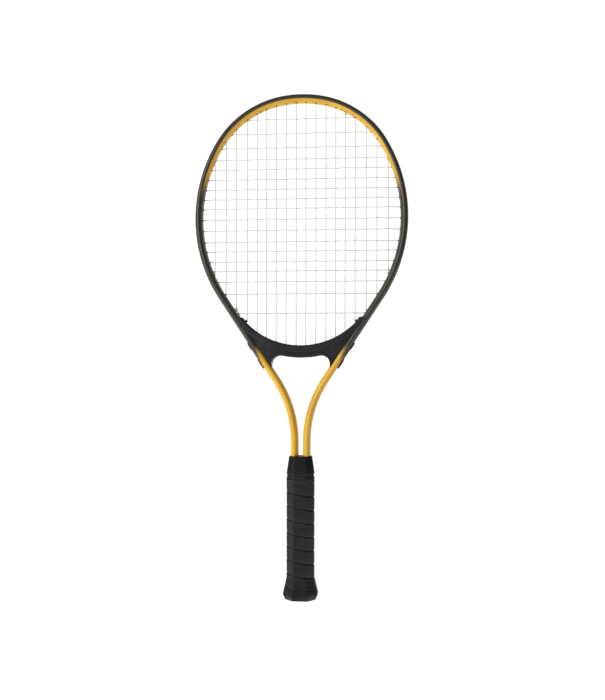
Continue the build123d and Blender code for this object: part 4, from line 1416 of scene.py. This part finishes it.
# ---------------------------------------------------------------- studio
@dataclass
class Studio:
    """White paper sweep, soft lights and the camera."""

    distance: float = 1.0
    height: float = 0.285
    yaw: float = 4.0
    roll: float = 0.06
    scale: float = 1.364
    centre: tuple[float, float] = (300.8, 598.0)
    picture: tuple[int, int] = (605, 700)

    def backdrop(self) -> None:
        """A floor that curves up to a wall."""
        rows = [(-2.5, 0.0), (0.9, 0.0)]
        rows += [(0.9 + 0.8 * math.sin(t), 0.8 - 0.8 * math.cos(t))
                 for t in np.linspace(0, math.pi / 2, 17)[1:]] + [(1.7, 3.2)]
        points = np.array([(x, y, z) for y, z in rows for x in (-3.0, 3.0)]) / MM
        faces = [(2 * i, 2 * i + 1, 2 * i + 3, 2 * i + 2) for i in range(len(rows) - 1)]
        piece = make_object("paper_sweep", points, [], faces, {})
        piece.data.shade_smooth()
        piece.data.materials.append(PaperSweep().material())

    def lamp(self, name: str, place: tuple, aim: tuple, size: tuple, power: float,
             colour: str) -> None:
        """Hang a soft box.

        Args:
            name: Its name.
            place: Where it hangs, in metres.
            aim: The point that it faces.
            size: Its width and height.
            power: Its power in watts.
            colour: Its light's colour.
        """
        data = bpy.data.lights.new(name, "AREA")
        data.shape, data.size, data.size_y = "RECTANGLE", *size
        data.energy, data.color = power, linear(colour)[:3]
        made = bpy.data.objects.new(name, data)
        made.location = place
        made.rotation_euler = (Vector(aim) - Vector(place)).to_track_quat("-Z", "Y").to_euler()
        bpy.context.scene.collection.objects.link(made)

    def camera(self) -> None:
        """Stand the camera a little to the right, level, at the height of the throat."""
        data = bpy.data.cameras.new("studio_camera")
        data.sensor_fit, data.sensor_width = "HORIZONTAL", 36.0
        wide, high = self.picture
        data.lens = data.sensor_width * self.distance / (MM * self.scale * wide)
        level = self.centre[1] - self.height / (MM * self.scale)
        data.shift_x = (wide / 2 - self.centre[0]) / wide
        data.shift_y = (level - high / 2) / wide
        made = bpy.data.objects.new("studio_camera", data)
        yaw = math.radians(self.yaw)
        made.location = (self.distance * math.sin(yaw), -self.distance * math.cos(yaw),
                         self.height)
        made.rotation_euler = Euler((math.pi / 2, 0, yaw))
        made.rotation_euler.rotate_axis("Z", math.radians(self.roll))
        bpy.context.scene.collection.objects.link(made)
        bpy.context.scene.camera = made

    def build(self) -> None:
        """Set up the paper, the lamps, the sky light and the camera."""
        self.backdrop()
        self.lamp("key_box", (-1.5, -1.25, 1.0), (0, 0, 0.4), (0.8, 1.4), 33.0, "FFFDF8")
        self.lamp("fill_box", (-0.6, -2.1, 0.9), (0, 0, 0.35), (0.5, 0.9), 4.5, "F8FAFF")
        world = bpy.data.worlds.new("studio_sky")
        world.use_nodes = True
        sky = world.node_tree.nodes["Background"]
        sky.inputs["Color"].default_value = linear("FFFFFF")
        sky.inputs["Strength"].default_value = 0.10
        bpy.context.scene.world = world
        bpy.context.scene.view_settings.view_transform = "Standard"
        self.camera()


def main() -> None:
    """Build the racket piece by piece, and the studio round it."""
    logging.basicConfig(level=logging.INFO, format="%(name)s: %(message)s")
    line = TubeLine()
    sweeps = SweepTree()
    holes = HoleLayout(line)
    FrameTube(line, sweeps).dress()
    StringBed(holes, sweeps).dress()
    Grommets(holes, ScatterTree()).dress()
    Throat().dress()
    Handle().dress()
    Studio().build()


if __name__ == "__main__":
    main()
